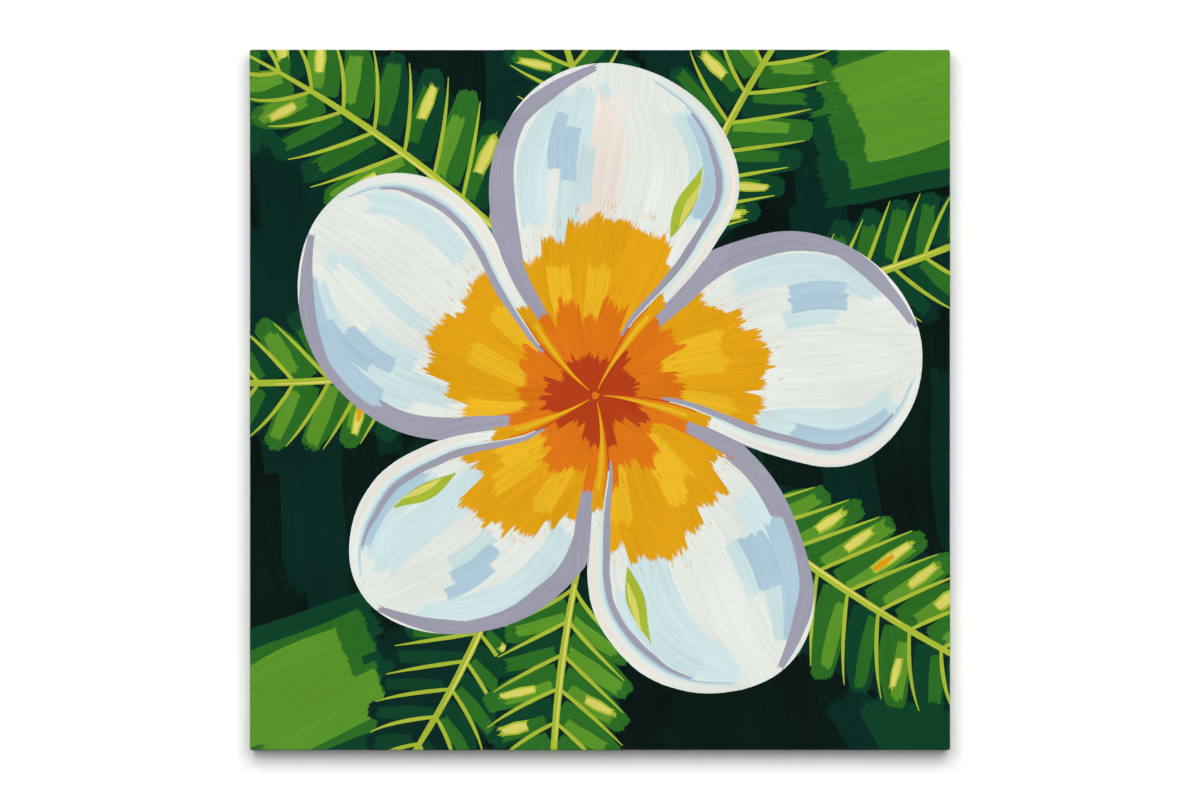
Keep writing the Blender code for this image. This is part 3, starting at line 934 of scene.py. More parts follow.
class Bloom:
    """Five petals in a pinwheel: each one's first edge lies over the petal before it.

    The waves of its number k in the sizes below make each petal a little unlike the others.
    """

    petals = 5
    gap = 2 * math.pi / petals

    def __init__(self):
        self.set = settings().bloom
        self.centre = np.array((self.set.centre_x, self.set.centre_z))

    def length(self, k):
        """From the centre to the tip of petal k."""
        return self.set.petal_length * (1 + 0.05 * math.sin(2.1 * (k % self.petals) + 0.6))

    def half_angle(self, k, r):
        """Half the angle that petal k spans, a share r of the way from the centre to its tip."""
        r = np.clip(r, 0, 1)
        full = self.set.fullness * (1 + 0.03 * math.cos(2.7 * k))
        hand = 1 + 0.018 * np.sin(8 * r + 1.7 * k) + 0.010 * np.sin(19 * r + 2.9 * k)
        blunt = 4.2 + math.sin(1.6 * k + 1)
        return full * (1 - 0.36 * r**1.4) * (1 - r**blunt) ** 0.54 * hand

    def middle(self, k, r):
        """Direction of petal k's middle line, a share r of the way to its tip."""
        r = np.clip(r, 0, 1)
        axis = self.set.turn + self.gap * k + math.radians(3) * math.sin(3.3 * k)
        tip = math.radians(7) * math.cos(1.9 * k + 0.4) * r**4
        return axis + self.set.lean * (1 - r) ** 2 + tip

    def first_edge(self, k, radius):
        """Angle of the rolled edge at this distance from the centre."""
        r = radius / self.length(k)
        return self.middle(k, r) - self.half_angle(k, r)

    def last_edge(self, k, radius, soft=0.0):
        """Angle of the far edge, or of the next petal's rolled edge where that lies over it.

        Soft rounds the corner between the two, in radians.
        """
        r = radius / self.length(k)
        own = self.middle(k, r) + self.half_angle(k, r)
        after = (k + 1) % self.petals
        following = self.first_edge(after, radius) + (0 if after else self.gap * self.petals)
        following = np.where(radius < self.length(after), following, own + 1)
        return (own + following - np.sqrt((own - following) ** 2 + soft**2)) / 2

    def at(self, radius, angle):
        """Flat places at this distance and direction from the centre."""
        radius, angle = np.broadcast_arrays(radius, angle)
        return self.centre + np.stack([radius * np.cos(angle), radius * np.sin(angle)], -1)

    def path(self, k, rows, count=14):
        """A smooth path on what shows of petal k, from control points (r, v).

        r goes from 0 at the centre to 1 at the tip, v from -1 at the rolled edge to 1.
        """
        r, v = bezier(rows, count).T
        radius = r * self.length(k)
        first, last = self.first_edge(k, radius), self.last_edge(k, radius, 0.16)
        return self.at(radius, first + (v + 1) / 2 * (last - first))

    def outline(self, k):
        radius = np.sin(np.linspace(0.012, math.pi / 2, 60)) * self.length(k)
        first = self.at(radius, self.first_edge(k, radius))
        last = self.at(radius, self.last_edge(k, radius))
        return np.concatenate([first, last[::-1]])

    def beside(self, k, start, end, inside, count=40):
        """A path beside the rolled edge, this many rim widths inside it, and its widths there."""
        turn = np.linspace(math.asin(start), math.asin(min(end, 1)), count)
        r = np.sin(turn)
        radius = r * self.length(k)
        edge = self.at(radius, self.first_edge(k, radius))
        _, left = directions(edge)
        # The rolled edge thins towards the heart and the tip.
        rim = self.set.rim * np.minimum(1, radius / (5.5 * self.set.rim))
        rim = rim * np.interp(r, (0, 0.2, 0.6, 0.85, 0.97, 1), (0.6, 0.8, 1, 0.95, 0.6, 0.3))
        return edge + left * (inside * rim)[:, None], rim / rim.max(), rim.max()


def petal_marks(bloom, k, rng):
    """The strokes that make one petal, in the order in which they are laid."""
    axis = bloom.middle(k, 0.7)
    wide = bloom.length(k)
    made = [patch("petal", bloom.outline(k), rng, axis)]

    def pull(colour, rows, width, ragged=(0.25, 0.5), taper=(1.0, 1.0)):
        made.append(stroke(colour, bloom.path(k, rows), width * wide, rng, ragged, taper))

    # Long whites down the petal, cool and warm.
    for v in rng.permutation(np.linspace(-0.66, 0.82, 7)):
        colour = rng.choice(["petal", "blush", "petal", "mist", "petal", "petal"])
        start, end = rng.uniform(0.32, 0.5), 0.98 - 0.22 * v * v - rng.uniform(0, 0.16)
        drift = rng.uniform(-0.1, 0.1)
        pull(colour, [(start, v), (0.65, v + drift), (end, v * 0.85)], 0.115, (0.4, 0.7))
    # Shade along the far side and by the tip.
    pull("mist", [(0.56, 0.72), (0.72, 0.74), (0.90, 0.55)], 0.10, (0.6, 0.6), (0.8, 1, 0.7))
    pull("lilac", [(0.44, 0.99), (0.62, 1.0), (0.86, 0.94)], 0.085, (0.5, 0.6), (0.6, 1, 0.6))
    if k % 2:
        pull("sky", [(0.66, 0.84), (0.80, 0.82), (0.93, 0.62)], 0.06, (0.5, 0.6), (1, 1, 0.7))
    pull("lilac", [(0.80, 1.0), (0.92, 0.94), (0.985, 0.45)], 0.05, (0.5, 0.6), (0.8, 1, 0.4))
    pull("mist", [(0.60, -0.66), (0.74, -0.70), (0.88, -0.58)], 0.07, (0.6, 0.8))
    if k % 2 == 0:
        pull("sky", [(0.62, -0.74), (0.74, -0.77), (0.88, -0.70)], 0.045, (0.6, 0.9))
    # A block of blue where the petal turns away, set down with three short pulls.
    at = 0.40 + 0.16 * math.sin(2.4 * k)
    for i, tone in enumerate(("mist", "sky", "sky")):
        r = 0.66 + 0.04 * i + 0.03 * math.sin(5 * k + i)
        v = at + 0.12 * (i - 1)
        pull(tone, [(r - 0.07, v), (r, v + 0.02), (r + 0.08, v)], 0.06 - 0.01 * i, (0.3, 0.35))
    # On some petals, a slim touch of green that the leaves throw back.
    if k in (0, 2, 3):
        slim = (0.15, 0.7, 1.0, 0.9, 0.5, 0.1)
        pull("lime", [(0.53, -0.61), (0.63, -0.58), (0.75, -0.66)], 0.055, (0.3, 0.5), slim)
        pull("lemon", [(0.57, -0.64), (0.64, -0.62), (0.72, -0.68)], 0.022, (0.3, 0.5), slim)
    # The throat: yellow pulled out of the heart, then orange, then rust.
    throat = bloom.set.throat
    for v in rng.permutation(np.linspace(-0.9, 0.95, 9)):
        reach = throat * (1 - 0.26 * abs(v + 0.15) ** 1.5) + rng.uniform(-0.055, 0.045)
        drift = rng.uniform(-0.05, 0.05)
        rows = [(0.05, v), (reach / 2, v), (reach, v * 0.94 + drift)]
        pull("gold", rows, 0.125, (0.1, 0.4), (0.35, 0.8, 1.0, 1.0))
    for v in rng.uniform(-0.7, 0.8, 3):
        start = rng.uniform(0.2, 0.28)
        rows = [(start, v), (start + 0.07, v), (start + 0.15, v)]
        pull("sun", rows, 0.07, (0.6, 0.8), (0.8, 1.0))
    pull("orange", [(0.10, 0.93), (0.26, 0.97), (0.44, 0.98)], 0.05, (0.2, 1.2), (0.6, 1, 0.6))
    for v in (-0.8, -0.35, 0.1, 0.5, 0.86):
        reach = rng.uniform(0.17, 0.27)
        pull("orange", [(0.04, v), (reach / 2, v), (reach, v)], 0.075, (0.1, 0.8), (0.3, 0.9, 1))
    for v in (-0.7, 0.0, 0.6, 0.92):
        reach = rng.uniform(0.09, 0.16)
        pull("rust", [(0.02, v), (reach / 2, v), (reach, v)], 0.045, (0.1, 0.9), (0.3, 0.9, 1))
    # Shade thrown by the next petal's rolled edge.
    path, taper, rim = bloom.beside((k + 1) % bloom.petals, 0.30, 0.70, -0.55)
    shade = 1.3 * rim * np.interp(np.linspace(0, 1, len(taper)), (0, 0.4, 1), (0.6, 1, 0.5))
    made.append(stroke("lilac", path, shade, rng, (0.4, 1.2)))
    return made


def rim_marks(bloom, k, rng):
    """The rolled edge of one petal, from the heart to its tip."""
    made = []

    def pull(colour, start, end, inside, width, ragged=(0.1, 0.4), swell=(1.0, 1.0)):
        path, taper, rim = bloom.beside(k, start, end, inside)
        steps = np.linspace(0, 1, len(taper))
        wide = width * rim * taper * np.interp(steps, np.linspace(0, 1, len(swell)), swell)
        made.append(stroke(colour, path, wide, rng, ragged))

    pull("lilac", 0.20, 0.93, 1.15, 0.95, (0.4, 0.8), (0.5, 1.0, 0.9, 1.1, 0.6))
    pull("sky", 0.55, 0.98, 0.95, 0.55, (0.5, 0.6), (0.6, 1.0, 1.0))
    pull("mist", 0.10, 0.985, 0.52, 1.08, (0.2, 0.3))
    pull("petal", 0.10, 0.992, 0.42, 0.86, (0.2, 0.3))
    pull("lilac", 0.30, 0.52, 0.02, 0.16, (0.2, 0.6), (0.4, 1.0, 0.3))
    pull("blush", 0.42, 0.90, 0.34, 0.34, (0.4, 0.8), (0.4, 1.0, 0.5))
    pull("gold", 0.012, 0.34, 0.44, 1.02, (0.1, 0.9))
    pull("rust", 0.03, 0.22, 1.02, 0.26, (0.1, 0.9), (0.7, 1.0, 0.4))
    pull("orange", 0.03, 0.30, 0.84, 0.30, (0.1, 0.9), (0.7, 1.0, 0.5))
    pull("sun", 0.06, 0.28, 0.32, 0.40, (0.2, 0.9), (0.5, 1.0, 0.7))
    pull("rust", 0.012, 0.15, -0.06, 0.20, (0.1, 0.6), (0.8, 1.0, 0.4))
    return made


def heart_marks(bloom, rng):
    """The small dark dab where the petals meet."""
    angle = np.linspace(0, 2 * math.pi, 22, endpoint=False)
    made = []
    for colour, size in (("rust", 6.8 * MM), ("orange", 3.2 * MM)):
        radius = size * (1 + 0.12 * np.sin(3 * angle + 1) + 0.08 * np.sin(5 * angle))
        made.append(patch(colour, bloom.at(radius, angle), rng))
    return made


# The painted leaves

VEIN, MIDRIB, MIDRIB_LIGHT = 0.0036, 0.0066, 0.0024  # widths of a leaf's lines in metres
GROUND_STROKE = 56 * MM  # widths of the flat brushes
BLOCK_STROKE = 40 * MM


class Leaf:
    """A broad pointed leaf with a midrib and paired side veins."""

    def __init__(self, foot, angle, length, half_width, bend):
        self.foot = np.array(foot, float)
        self.angle = math.radians(angle)
        self.length = length
        self.half_width = half_width
        self.bend = math.radians(bend)

    def place(self, u, v):
        """A place u along the leaf, from 0 to 1, and v across it, from -1 to 1."""
        u, v = np.broadcast_arrays(np.asarray(u, float), np.asarray(v, float))
        turn = self.angle + self.bend * (u - 0.5)
        middle = self.angle + self.bend * (u - 0.5) / 2
        way = np.stack([np.cos(middle), np.sin(middle)], -1)
        spine = self.foot + self.length * u[..., None] * way
        width = self.half_width * np.sin(np.clip(u, 0, 1) ** 0.8 * math.pi) ** 0.7
        side = np.stack([-np.sin(turn), np.cos(turn)], -1)
        return spine + side * (v * width)[..., None]

    def path(self, rows, count=10):
        u, v = bezier(rows, count).T
        return self.place(u, v)

    def outline(self, share=1.0):
        u = np.linspace(0.01, 0.995, 36)
        return np.concatenate([self.place(u, -share), self.place(u, share)[::-1]])


def leaf_marks(leaf, rng, veins, light, tones):
    """The strokes of one leaf. Light is the share of its panels that catch the sun."""
    dark, middle, bright = tones
    made = [patch("pine_green", leaf.outline(0.9), rng, leaf.angle)]
    step = 0.88 / veins
    panel = leaf.length * step

    def pull(colour, rows, width, ragged, taper, roundness=0.0):
        made.append(stroke(colour, leaf.path(rows), width * panel, rng, ragged, taper, roundness))

    for side in (-1, 1):
        for i in range(veins):
            u = 0.07 + step * (i + 0.5)
            out = rng.uniform(0.86, 0.98) * side
            rows = [(u - 0.1 * step, 0.05 * side), (u + 0.45 * step, 0.5 * out), (u + step, out)]
            tone = rng.choice([dark, middle, middle] if side > 0 else [dark, dark, middle])
            pull(tone, rows, 0.88, (0.1, 0.18), (0.7, 1.0, 1.0, 0.7), 0.7)
            glow = bright if tone == middle else middle
            start, end = rng.uniform(0.06, 0.2), rng.uniform(0.7, 0.9)
            rows = [
                (u + (start + 0.15) * step, start * side),
                (u + 0.6 * step, 0.5 * end * side),
                (u + (end + 0.12) * step, end * side),
            ]
            pull(glow, rows, rng.uniform(0.38, 0.55), (0.3, 0.5), (0.7, 1.0, 0.8))
            if rng.random() < light:
                start, end = rng.uniform(0.35, 0.5), rng.uniform(0.72, 0.88)
                rows = [(u + (start + 0.1) * step, start * side), (u + end * step, end * side)]
                wide = rng.uniform(0.26, 0.42)
                pull("lime", rows, wide, (0.4, 0.8), (0.8, 1.0, 0.7), 0.4)
                pull("lemon", rows, wide * 0.66, (0.2, 0.6), (0.7, 1.0, 0.6), 0.3)
                if rng.random() < 0.5:
                    rows = [rows[0], ((rows[0][0] + rows[1][0]) / 2, (start + end) / 2 * side)]
                    shine = rng.choice(["gold", "gold", "lemon"])
                    pull(shine, rows, wide * 0.55, (0.2, 0.9), (0.8, 1.0, 0.7))
    for side in (-1, 1):
        for i in range(veins):
            u = 0.05 + step * i
            reach = rng.uniform(0.9, 1.04) * side
            rows = [(u, 0.0), (u + 0.55 * step, 0.45 * reach), (u + 1.4 * step, reach)]
            made.append(line("lime", leaf.path(rows), VEIN, rng))
    made.append(line("lime", leaf.path([(0.0, 0), (0.5, 0), (0.98, 0)], 24), MIDRIB, rng))
    rows = [(0.04, 0.02), (0.3, 0.02), (0.55, 0.02)]
    made.append(line("lemon", leaf.path(rows, 14), MIDRIB_LIGHT, rng))
    return made


# Foot x and z, direction, length, half width, bend, veins, share in the sun and tones
LEAVES = (
    ((-0.06, 0.12), 140, 0.33, 0.075, 18, 9, 0.30, ("bottle", "leaf", "grass")),
    ((0.06, 0.12), 66, 0.30, 0.066, -20, 9, 0.40, ("bottle", "leaf", "grass")),
    ((0.10, -0.08), -36, 0.36, 0.074, 16, 10, 0.40, ("bottle", "leaf", "grass")),
    ((-0.08, -0.14), 246, 0.25, 0.060, -18, 8, 0.15, ("pine_green", "bottle", "leaf")),
    ((-0.02, -0.15), -98, 0.27, 0.060, 14, 8, 0.45, ("bottle", "leaf", "grass")),
    ((-0.13, 0.03), 186, 0.28, 0.058, -16, 8, 0.35, ("bottle", "leaf", "grass")),
    ((0.16, 0.09), 16, 0.26, 0.054, 18, 8, 0.25, ("pine_green", "bottle", "leaf")),
    ((0.00, 0.16), 100, 0.24, 0.056, 20, 7, 0.15, ("pine_green", "bottle", "leaf")),
)

# Middle, direction, size along and across, and colours of the flat blocks behind the leaves
BLOCKS = (
    ((0.265, 0.262), 12, 0.19, 0.15, ("bottle", "leaf", "grass")),
    ((-0.262, -0.262), 22, 0.20, 0.14, ("bottle", "leaf", "grass")),
    ((-0.285, 0.285), 70, 0.15, 0.12, ("pine_green", "bottle")),
    ((0.290, -0.290), -60, 0.14, 0.11, ("pine_green", "bottle")),
)
BLOCK_ROW = 22 * MM  # from one stroke of a block to the next


def ground_marks(rng):
    """Broad dark strokes that cover the cloth from one back edge to the other."""
    reach = flat_reach()
    edge = reach * np.array([(-1, -1), (1, -1), (1, 1), (-1, 1)])
    made = [patch("night", edge, rng)]
    rows, parts = 15, 4

    def astray(most):
        return rng.uniform(-most * MM, most * MM)

    for pass_angle in (8, 96):
        forward, side = headings(math.radians(pass_angle))
        for i in range(rows):
            offset = (i / (rows - 1) * 2 - 1) * reach
            for part in range(parts):
                start = -reach + part * 2 * reach / parts + astray(30)
                end = start + reach * 0.62
                a = forward * start + side * (offset + astray(10))
                b = forward * end + side * (offset + astray(20))
                middle = (a + b) / 2 + side * astray(15)
                # The ground is greener towards the top left.
                green = 0.30 + 0.5 * (middle[1] - middle[0])
                colour = "pine_green" if rng.random() < green else "night"
                path = bezier([a, middle, b])
                made.append(stroke(colour, path, GROUND_STROKE, rng, (0.3, 0.5)))
    return made


def block_marks(rng):
    """Flat blocks of green, as of leaves far behind."""
    made = []
    for middle, angle, size, across, colours in BLOCKS:
        for level, colour in enumerate(colours):
            shrink = 1 - 0.22 * level
            forward, side = headings(math.radians(angle + rng.uniform(-8, 8)))
            rows = int(across * shrink / BLOCK_ROW)
            for i in range(rows):
                offset = (i - (rows - 1) / 2) * BLOCK_ROW + rng.uniform(-0.004, 0.004)
                half = size * shrink / 2 * rng.uniform(0.72, 1.08)
                place = np.array(middle) + side * offset + forward * rng.uniform(-0.012, 0.012)
                a, b = place - forward * half, place + forward * half
                if rng.random() < 0.5:
                    a, b = b, a
                bow = (a + b) / 2 + side * rng.uniform(-0.006, 0.006)
                path = bezier([a, bow, b], 7)
                made.append(stroke(colour, path, BLOCK_STROKE, rng, (0.15, 0.3)))
    return made


def painted_reach(rng):
    """The uneven line on the back where the paint stops."""
    reach = fold_lines()[1][1] + PAINT_ONTO_BACK
    count, waves, swing, jitter = 190, 60, 1.2 * MM, 0.5 * MM
    steps = np.linspace(-1, 1, count, endpoint=False)
    made = []
    for turn in range(4):
        wave = np.interp(steps, np.linspace(-1, 1, waves), rng.uniform(-swing, swing, waves))
        out = reach + wave + rng.uniform(-1, 1, count) * jitter
        along_side = steps * reach
        corner = [(along_side, -out), (out, along_side), (-along_side, out), (-out, -along_side)]
        made.append(np.stack(corner[turn], 1))
    return np.concatenate(made)


# Operators: one for each piece or group of like pieces

WALL_HALF_WIDTH = 2.0
WALL_HEIGHT = 2.5  # over the picture's middle
FLOOR_HALF_WIDTH = 20.0
FLOOR_GLOW = 0.84  # the part of the floor's colour that it gives out itself, so it shows no shade

# Place from the picture's middle, and width and height
FRONT_LAMP = ((0, -5.0, 0.92), (3.5, 3.2))
FRONT_AIM = -3.0  # where it points, over the picture's middle

# Name, place from the picture's middle, width and height, and the setting that holds the power.
# They stand behind the wall's plane, so they light only the sides and the back.
BACK_LAMPS = (
    ("side_lamp_left", (-2.2, 0.7, 0.25), (1.0, 1.6), "side_power"),
    ("side_lamp_right", (2.2, 0.7, 0.25), (1.0, 1.6), "side_power"),
    ("top_lamp", (0, 0.8, 2.1), (1.6, 1.0), "top_power"),
    ("back_lamp", (0.9, 2.6, 0.7), (1.4, 1.4), "back_power"),
)


class CANVAS_OT_stage(Operator):
    """Make the wall, the floor, the lamps and the camera"""

    bl_idname = "canvas_picture.stage"
    bl_label = "Stage"

    def execute(self, context):
        stage = settings().stage
        self.add_wall(stage)
        self.add_floor(stage)
        # A broad soft lamp in front throws a short shadow, mostly downwards.
        front = self.add_lamp("front_lamp", *FRONT_LAMP, stage.front_power, FRONT_AIM)
        front.data.shape = "ELLIPSE"
        front.visible_glossy = False
        for name, offset, size, power in BACK_LAMPS:
            self.add_lamp(name, offset, size, getattr(stage, power))
        self.add_air(stage)
        context.scene.view_settings.view_transform = "Standard"
        camera = bpy.data.cameras.new("camera")
        camera.lens = stage.lens
        distance = 2 * HALF / stage.share_of_view * stage.lens / camera.sensor_width
        viewer = placed("camera", camera)
        viewer.location = (0, FRONT_Y - distance, CENTRE_Z)
        viewer.rotation_euler = (math.pi / 2, 0, 0)
        context.scene.camera = viewer
        return {"FINISHED"}

    def add_air(self, stage):
        """Pale air: bright to look at, but only a weak light."""
        world = bpy.data.worlds.new("air")
        world.use_nodes = True
        wires = Wiring(world.node_tree)
        seen = wires.add("ShaderNodeLightPath").outputs["Is Camera Ray"]
        strength = wires.spread(seen, 0, 1, stage.air_light, stage.air_seen)
        white = (1.0, 1.0, 1.0, 1.0)
        light = world.node_tree.nodes["Background"].inputs
        light["Color"].default_value = white
        wires.give(light["Strength"], strength)
        bpy.context.scene.world = world

    def pale_material(self, name, one_sided, glow=0.0):
        """Matt white paint that may glow a little, and may be clear from behind."""
        colour = settings().stage.wall
        material, wires, shader = new_material(name, 0.9)
        shader["Specular IOR Level"].default_value = 0.1
        grain = wires.noise(wires.place(), 90.0, 3.0)
        pale, dimmer = tinted(colour, 1 - glow), tinted(colour, (1 - glow) * 0.985)
        wires.give(shader["Base Color"], wires.mix(grain, dimmer, pale))
        shader["Emission Color"].default_value = (1.0, 1.0, 1.0, 1.0)
        shader["Emission Strength"].default_value = glow
        if one_sided:
            clear = wires.add("ShaderNodeBsdfTransparent")
            behind = wires.add("ShaderNodeNewGeometry").outputs["Backfacing"]
            choice = wires.add("ShaderNodeMixShader")
            principled = material.node_tree.nodes["Principled BSDF"]
            shaders = (behind, principled.outputs[0], clear.outputs[0])
            for socket, value in zip(choice.inputs, shaders):
                wires.give(socket, value)
            end = material.node_tree.nodes["Material Output"]
            wires.give(end.inputs["Surface"], choice.outputs[0])
        return material

    def add_sheet(self, name, corners, material):
        mesh = new_mesh(name, corners, [range(4)])
        mesh.materials.append(material)
        sheet = placed(name, mesh)
        return sheet

    def add_wall(self, stage):
        """The wall behind the picture, which is there for the front only."""
        low, high, wide = CENTRE_Z - stage.floor_drop, CENTRE_Z + WALL_HEIGHT, WALL_HALF_WIDTH
        y = CAD_BOX[1][1] + 0.3 * MM
        corners = [(-wide, y, low), (wide, y, low), (wide, y, high), (-wide, y, high)]
        wall_paint = self.pale_material("wall_paint", one_sided=True)
        wall = self.add_sheet("wall", corners, wall_paint)
        for ray in ("shadow", "diffuse", "glossy", "transmission"):
            setattr(wall, f"visible_{ray}", False)

    def add_floor(self, stage):
        """A pale floor, far below the picture and wide enough that its rim isn't seen."""
        z, wide = CENTRE_Z - stage.floor_drop, FLOOR_HALF_WIDTH
        corners = [(-wide, -wide, z), (wide, -wide, z), (wide, wide, z), (-wide, wide, z)]
        floor_paint = self.pale_material("floor_paint", one_sided=False, glow=FLOOR_GLOW)
        floor = self.add_sheet("floor", corners, floor_paint)
        floor.visible_diffuse = False

    def add_lamp(self, name, offset, size, power, aim=0.0):
        """A soft lamp at this offset from the picture's middle, aimed at or over that middle."""
        light = bpy.data.lights.new(name, "AREA")
        light.shape = "RECTANGLE"
        light.size, light.size_y = size
        light.energy = power
        lamp = placed(name, light)
        lamp.location = Vector((0, 0, CENTRE_Z)) + Vector(offset)
        forward = Vector((0, 0, aim)) - Vector(offset)
        lamp.rotation_euler = forward.to_track_quat("-Z", "Y").to_euler()
        return lamp


class CANVAS_OT_cloth(Operator):
    """Make the cloth over the bars: primed and painted outside, raw inside"""

    bl_idname = "canvas_picture.cloth"
    bl_label = "Cloth"

    def execute(self, context):
        cloth = settings().cloth
        reach = flat_reach()
        lines = [*np.linspace(-HALF, HALF, 25)[1:-1], *bend_lines(), *-bend_lines(), reach, -reach]
        lines = np.sort(lines)
        x, z = (part.ravel() for part in np.meshgrid(lines, lines))
        quads = grid_faces(len(lines), len(lines))
        # The cut edge isn't quite straight.
        rng = np.random.default_rng(settings().brush.seed)
        for part in (x, z):
            cut = np.abs(part) > reach - 0.1 * MM
            part[cut] += rng.uniform(-CUT_WOBBLE, CUT_WOBBLE, cut.sum())
        places = np.stack([x, z], 1)
        middles = np.abs([places[list(quad)].mean(axis=0) for quad in quads])
        kept = middles.min(axis=1) < fold_lines()[0][1]
        quads = [quad for quad, keep in zip(quads, kept) if keep]
        mesh = new_mesh("canvas_cloth", folded(x, z, np.zeros(len(x))).tolist(), quads)
        add_map(mesh, "flat", places[np.array(quads).ravel()])
        turned = middles.max(axis=1)[kept] > fold_lines()[1][1]
        mesh.polygons.foreach_set("material_index", turned.astype(int))
        shape = bmesh.new()
        shape.from_mesh(mesh)
        loose = [vertex for vertex in shape.verts if not vertex.link_faces]
        bmesh.ops.delete(shape, geom=loose, context="VERTS")
        bmesh.ops.remove_doubles(shape, verts=shape.verts, dist=CLOSEST)
        shape.to_mesh(mesh)
        shape.free()
        raw = cloth_material("raw_cotton", cloth.raw, roughness=0.9, strength=0.9)
        painted = paint("night")
        primed = cloth_material("primed_cotton", cloth.primer, roughness=0.75, strength=0.6)
        materials = [painted, primed, raw, raw]
        piece = finished_piece("canvas_cloth", mesh, materials, CLOTH_CREASE)
        thicken(piece, CLOTH_CREASE, inner=2)
        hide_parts("canvas")
        return {"FINISHED"}


# The section of a corner fold: places from the corner inwards, as shares of its length, and how
# proud it stands there, as shares of its height
FOLD_INWARD = np.array((0.1, 0.1, 0.3, 0.9, 2, 6, 12, 18, 24, 30, 34)) / 34
FOLD_PROUD = np.array((0, 0.45, 0.8, 1, 0.97, 0.85, 0.66, 0.47, 0.28, 0.1, 0))
FOLD_RISE = 14 * MM  # from the front edge to where the fold is at its full height
PRESSED = 0.22  # what is left of that height on the back, where a bumper may sit on it


class CANVAS_OT_corner_folds(Operator):
    """Fold the spare cloth at each corner under its outer layer"""

    bl_idname = "canvas_picture.corner_folds"
    bl_label = "Corner folds"

    def execute(self, context):
        cloth = settings().cloth
        (_, start), (second, flap_start) = fold_lines()
        paint_end, short_of_cut = flap_start + PAINT_ONTO_BACK, flat_reach() - 0.6 * MM
        back_bend = bend_lines().reshape(2, -1)[1]
        down = [*np.linspace(start, second, 8)[:-1], *back_bend, paint_end]
        down = np.sort([*down, *np.linspace(flap_start, short_of_cut, 6)[1:]])
        # The outer layer ends in a rounded fold where the two sides meet.
        inward = FOLD_INWARD * cloth.fold_reach
        rise = np.clip((down - start) / FOLD_RISE, 0.03, 1)
        rise *= np.interp(down, (second, flap_start), (1, PRESSED))
        heights = (cloth.fold_height * rise[:, None] * FOLD_PROUD).ravel()
        columns = len(inward)
        quads = grid_faces(columns, len(down))
        painted = np.repeat(down[:-1] < paint_end - 0.1 * MM, columns - 1)
        primed = bpy.data.materials["primed_cotton"]
        colours = ("bottle", "pine_green", "bottle", "pine_green")
        for number, (right, up) in enumerate(((1, 1), (-1, 1), (-1, -1), (1, -1)), 1):
            x = np.tile(right * (start - inward), len(down))
            z = np.repeat(up * down, columns)
            faces = quads if right * up < 0 else [quad[::-1] for quad in quads]
            name = f"corner_fold_{number}"
            mesh = new_mesh(name, folded(x, z, heights).tolist(), faces)
            mesh.polygons.foreach_set("material_index", (~painted).astype(int))
            for label in ("flat", "brush"):
                add_map(mesh, label, np.stack([x, z], 1)[np.array(faces).ravel()])
            materials = [paint(colours[number - 1]), primed]
            piece = finished_piece(name, mesh, materials, FOLD_CREASE)
            thicken(piece, FOLD_CREASE)
        return {"FINISHED"}


class CANVAS_OT_threads(Operator):
    """Fray the cut edge of the cloth into short curled threads"""

    bl_idname = "canvas_picture.threads"
    bl_label = "Loose threads"

    def execute(self, context):
        cloth = settings().cloth
        rng = np.random.default_rng(settings().brush.seed + 3)
        reach = flat_reach()
        steps = np.linspace(0, 1, 6)
        thickness = 0.17 * MM * (1 - 0.5 * steps)[:, None]
        vertices, faces = [], []
        for turn in range(len(SIDE_NAMES)):
            for x in rng.uniform(-0.92, 0.92, cloth.threads) * HALF:
                size = rng.choice([3, 5, 8, 13]) * MM * rng.uniform(0.7, 1.2)
                lean = rng.uniform(-0.8, 0.8) * size
                curl = rng.uniform(-0.5, 0.5) * size
                across = x + lean * steps + curl * np.sin(steps * math.pi)
                down = reach - 1.2 * MM + size * steps
                over = 0.1 * MM + (rng.uniform(-0.5, 1.2) * MM) * np.sin(steps * 1.9) * steps
                sign = 1 if turn < 2 else -1
                flat = (across, sign * down) if turn % 2 else (sign * down, across)
                places, between = tube(folded(*flat, over), thickness)
                faces += [tuple(len(vertices) + i for i in face) for face in between]
                vertices += places
        mesh = new_mesh("loose_threads", vertices, faces)
        material, wires, shader = new_material("loose_thread", 0.9)
        tone = wires.spread(wires.noise(wires.place(), 160.0), 0.3, 0.7)
        mixed = wires.mix(tone, tinted(cloth.raw, 0.8), tinted(cloth.raw, 1.15))
        wires.give(shader["Base Color"], mixed)
        finished_piece("loose_threads", mesh, [material], FOLD_CREASE)
        return {"FINISHED"}


# Each layer of paint: how high its lowest mark lies over the cloth and how thick it is, in films
GROUND_LAYER = (0.3, 3)
BLOCKS_LAYER = (4, 2)
LEAF_LAYERS = ((7, 2.5), (10, 2.5), (13, 2.5))
PETAL_LAYER = (17, 5)
RIM_LAYER = (23, 3)
RIM_STEP = 0.2  # from one petal's rim to the next, where they meet in the heart
HEART_LAYER = (27, 1)


class CANVAS_OT_ground(Operator):
    """Lay the dark ground and the flat blocks of green behind the leaves"""

    bl_idname = "canvas_picture.ground"
    bl_label = "Painted ground"

    def execute(self, context):
        rng = np.random.default_rng(settings().brush.seed)
        within = painted_reach(rng)
        lay_paint("paint_ground", ground_marks(rng), GROUND_LAYER, within, wraps=True)
        lay_paint("paint_blocks", block_marks(rng), BLOCKS_LAYER, within, wraps=True)
        return {"FINISHED"}


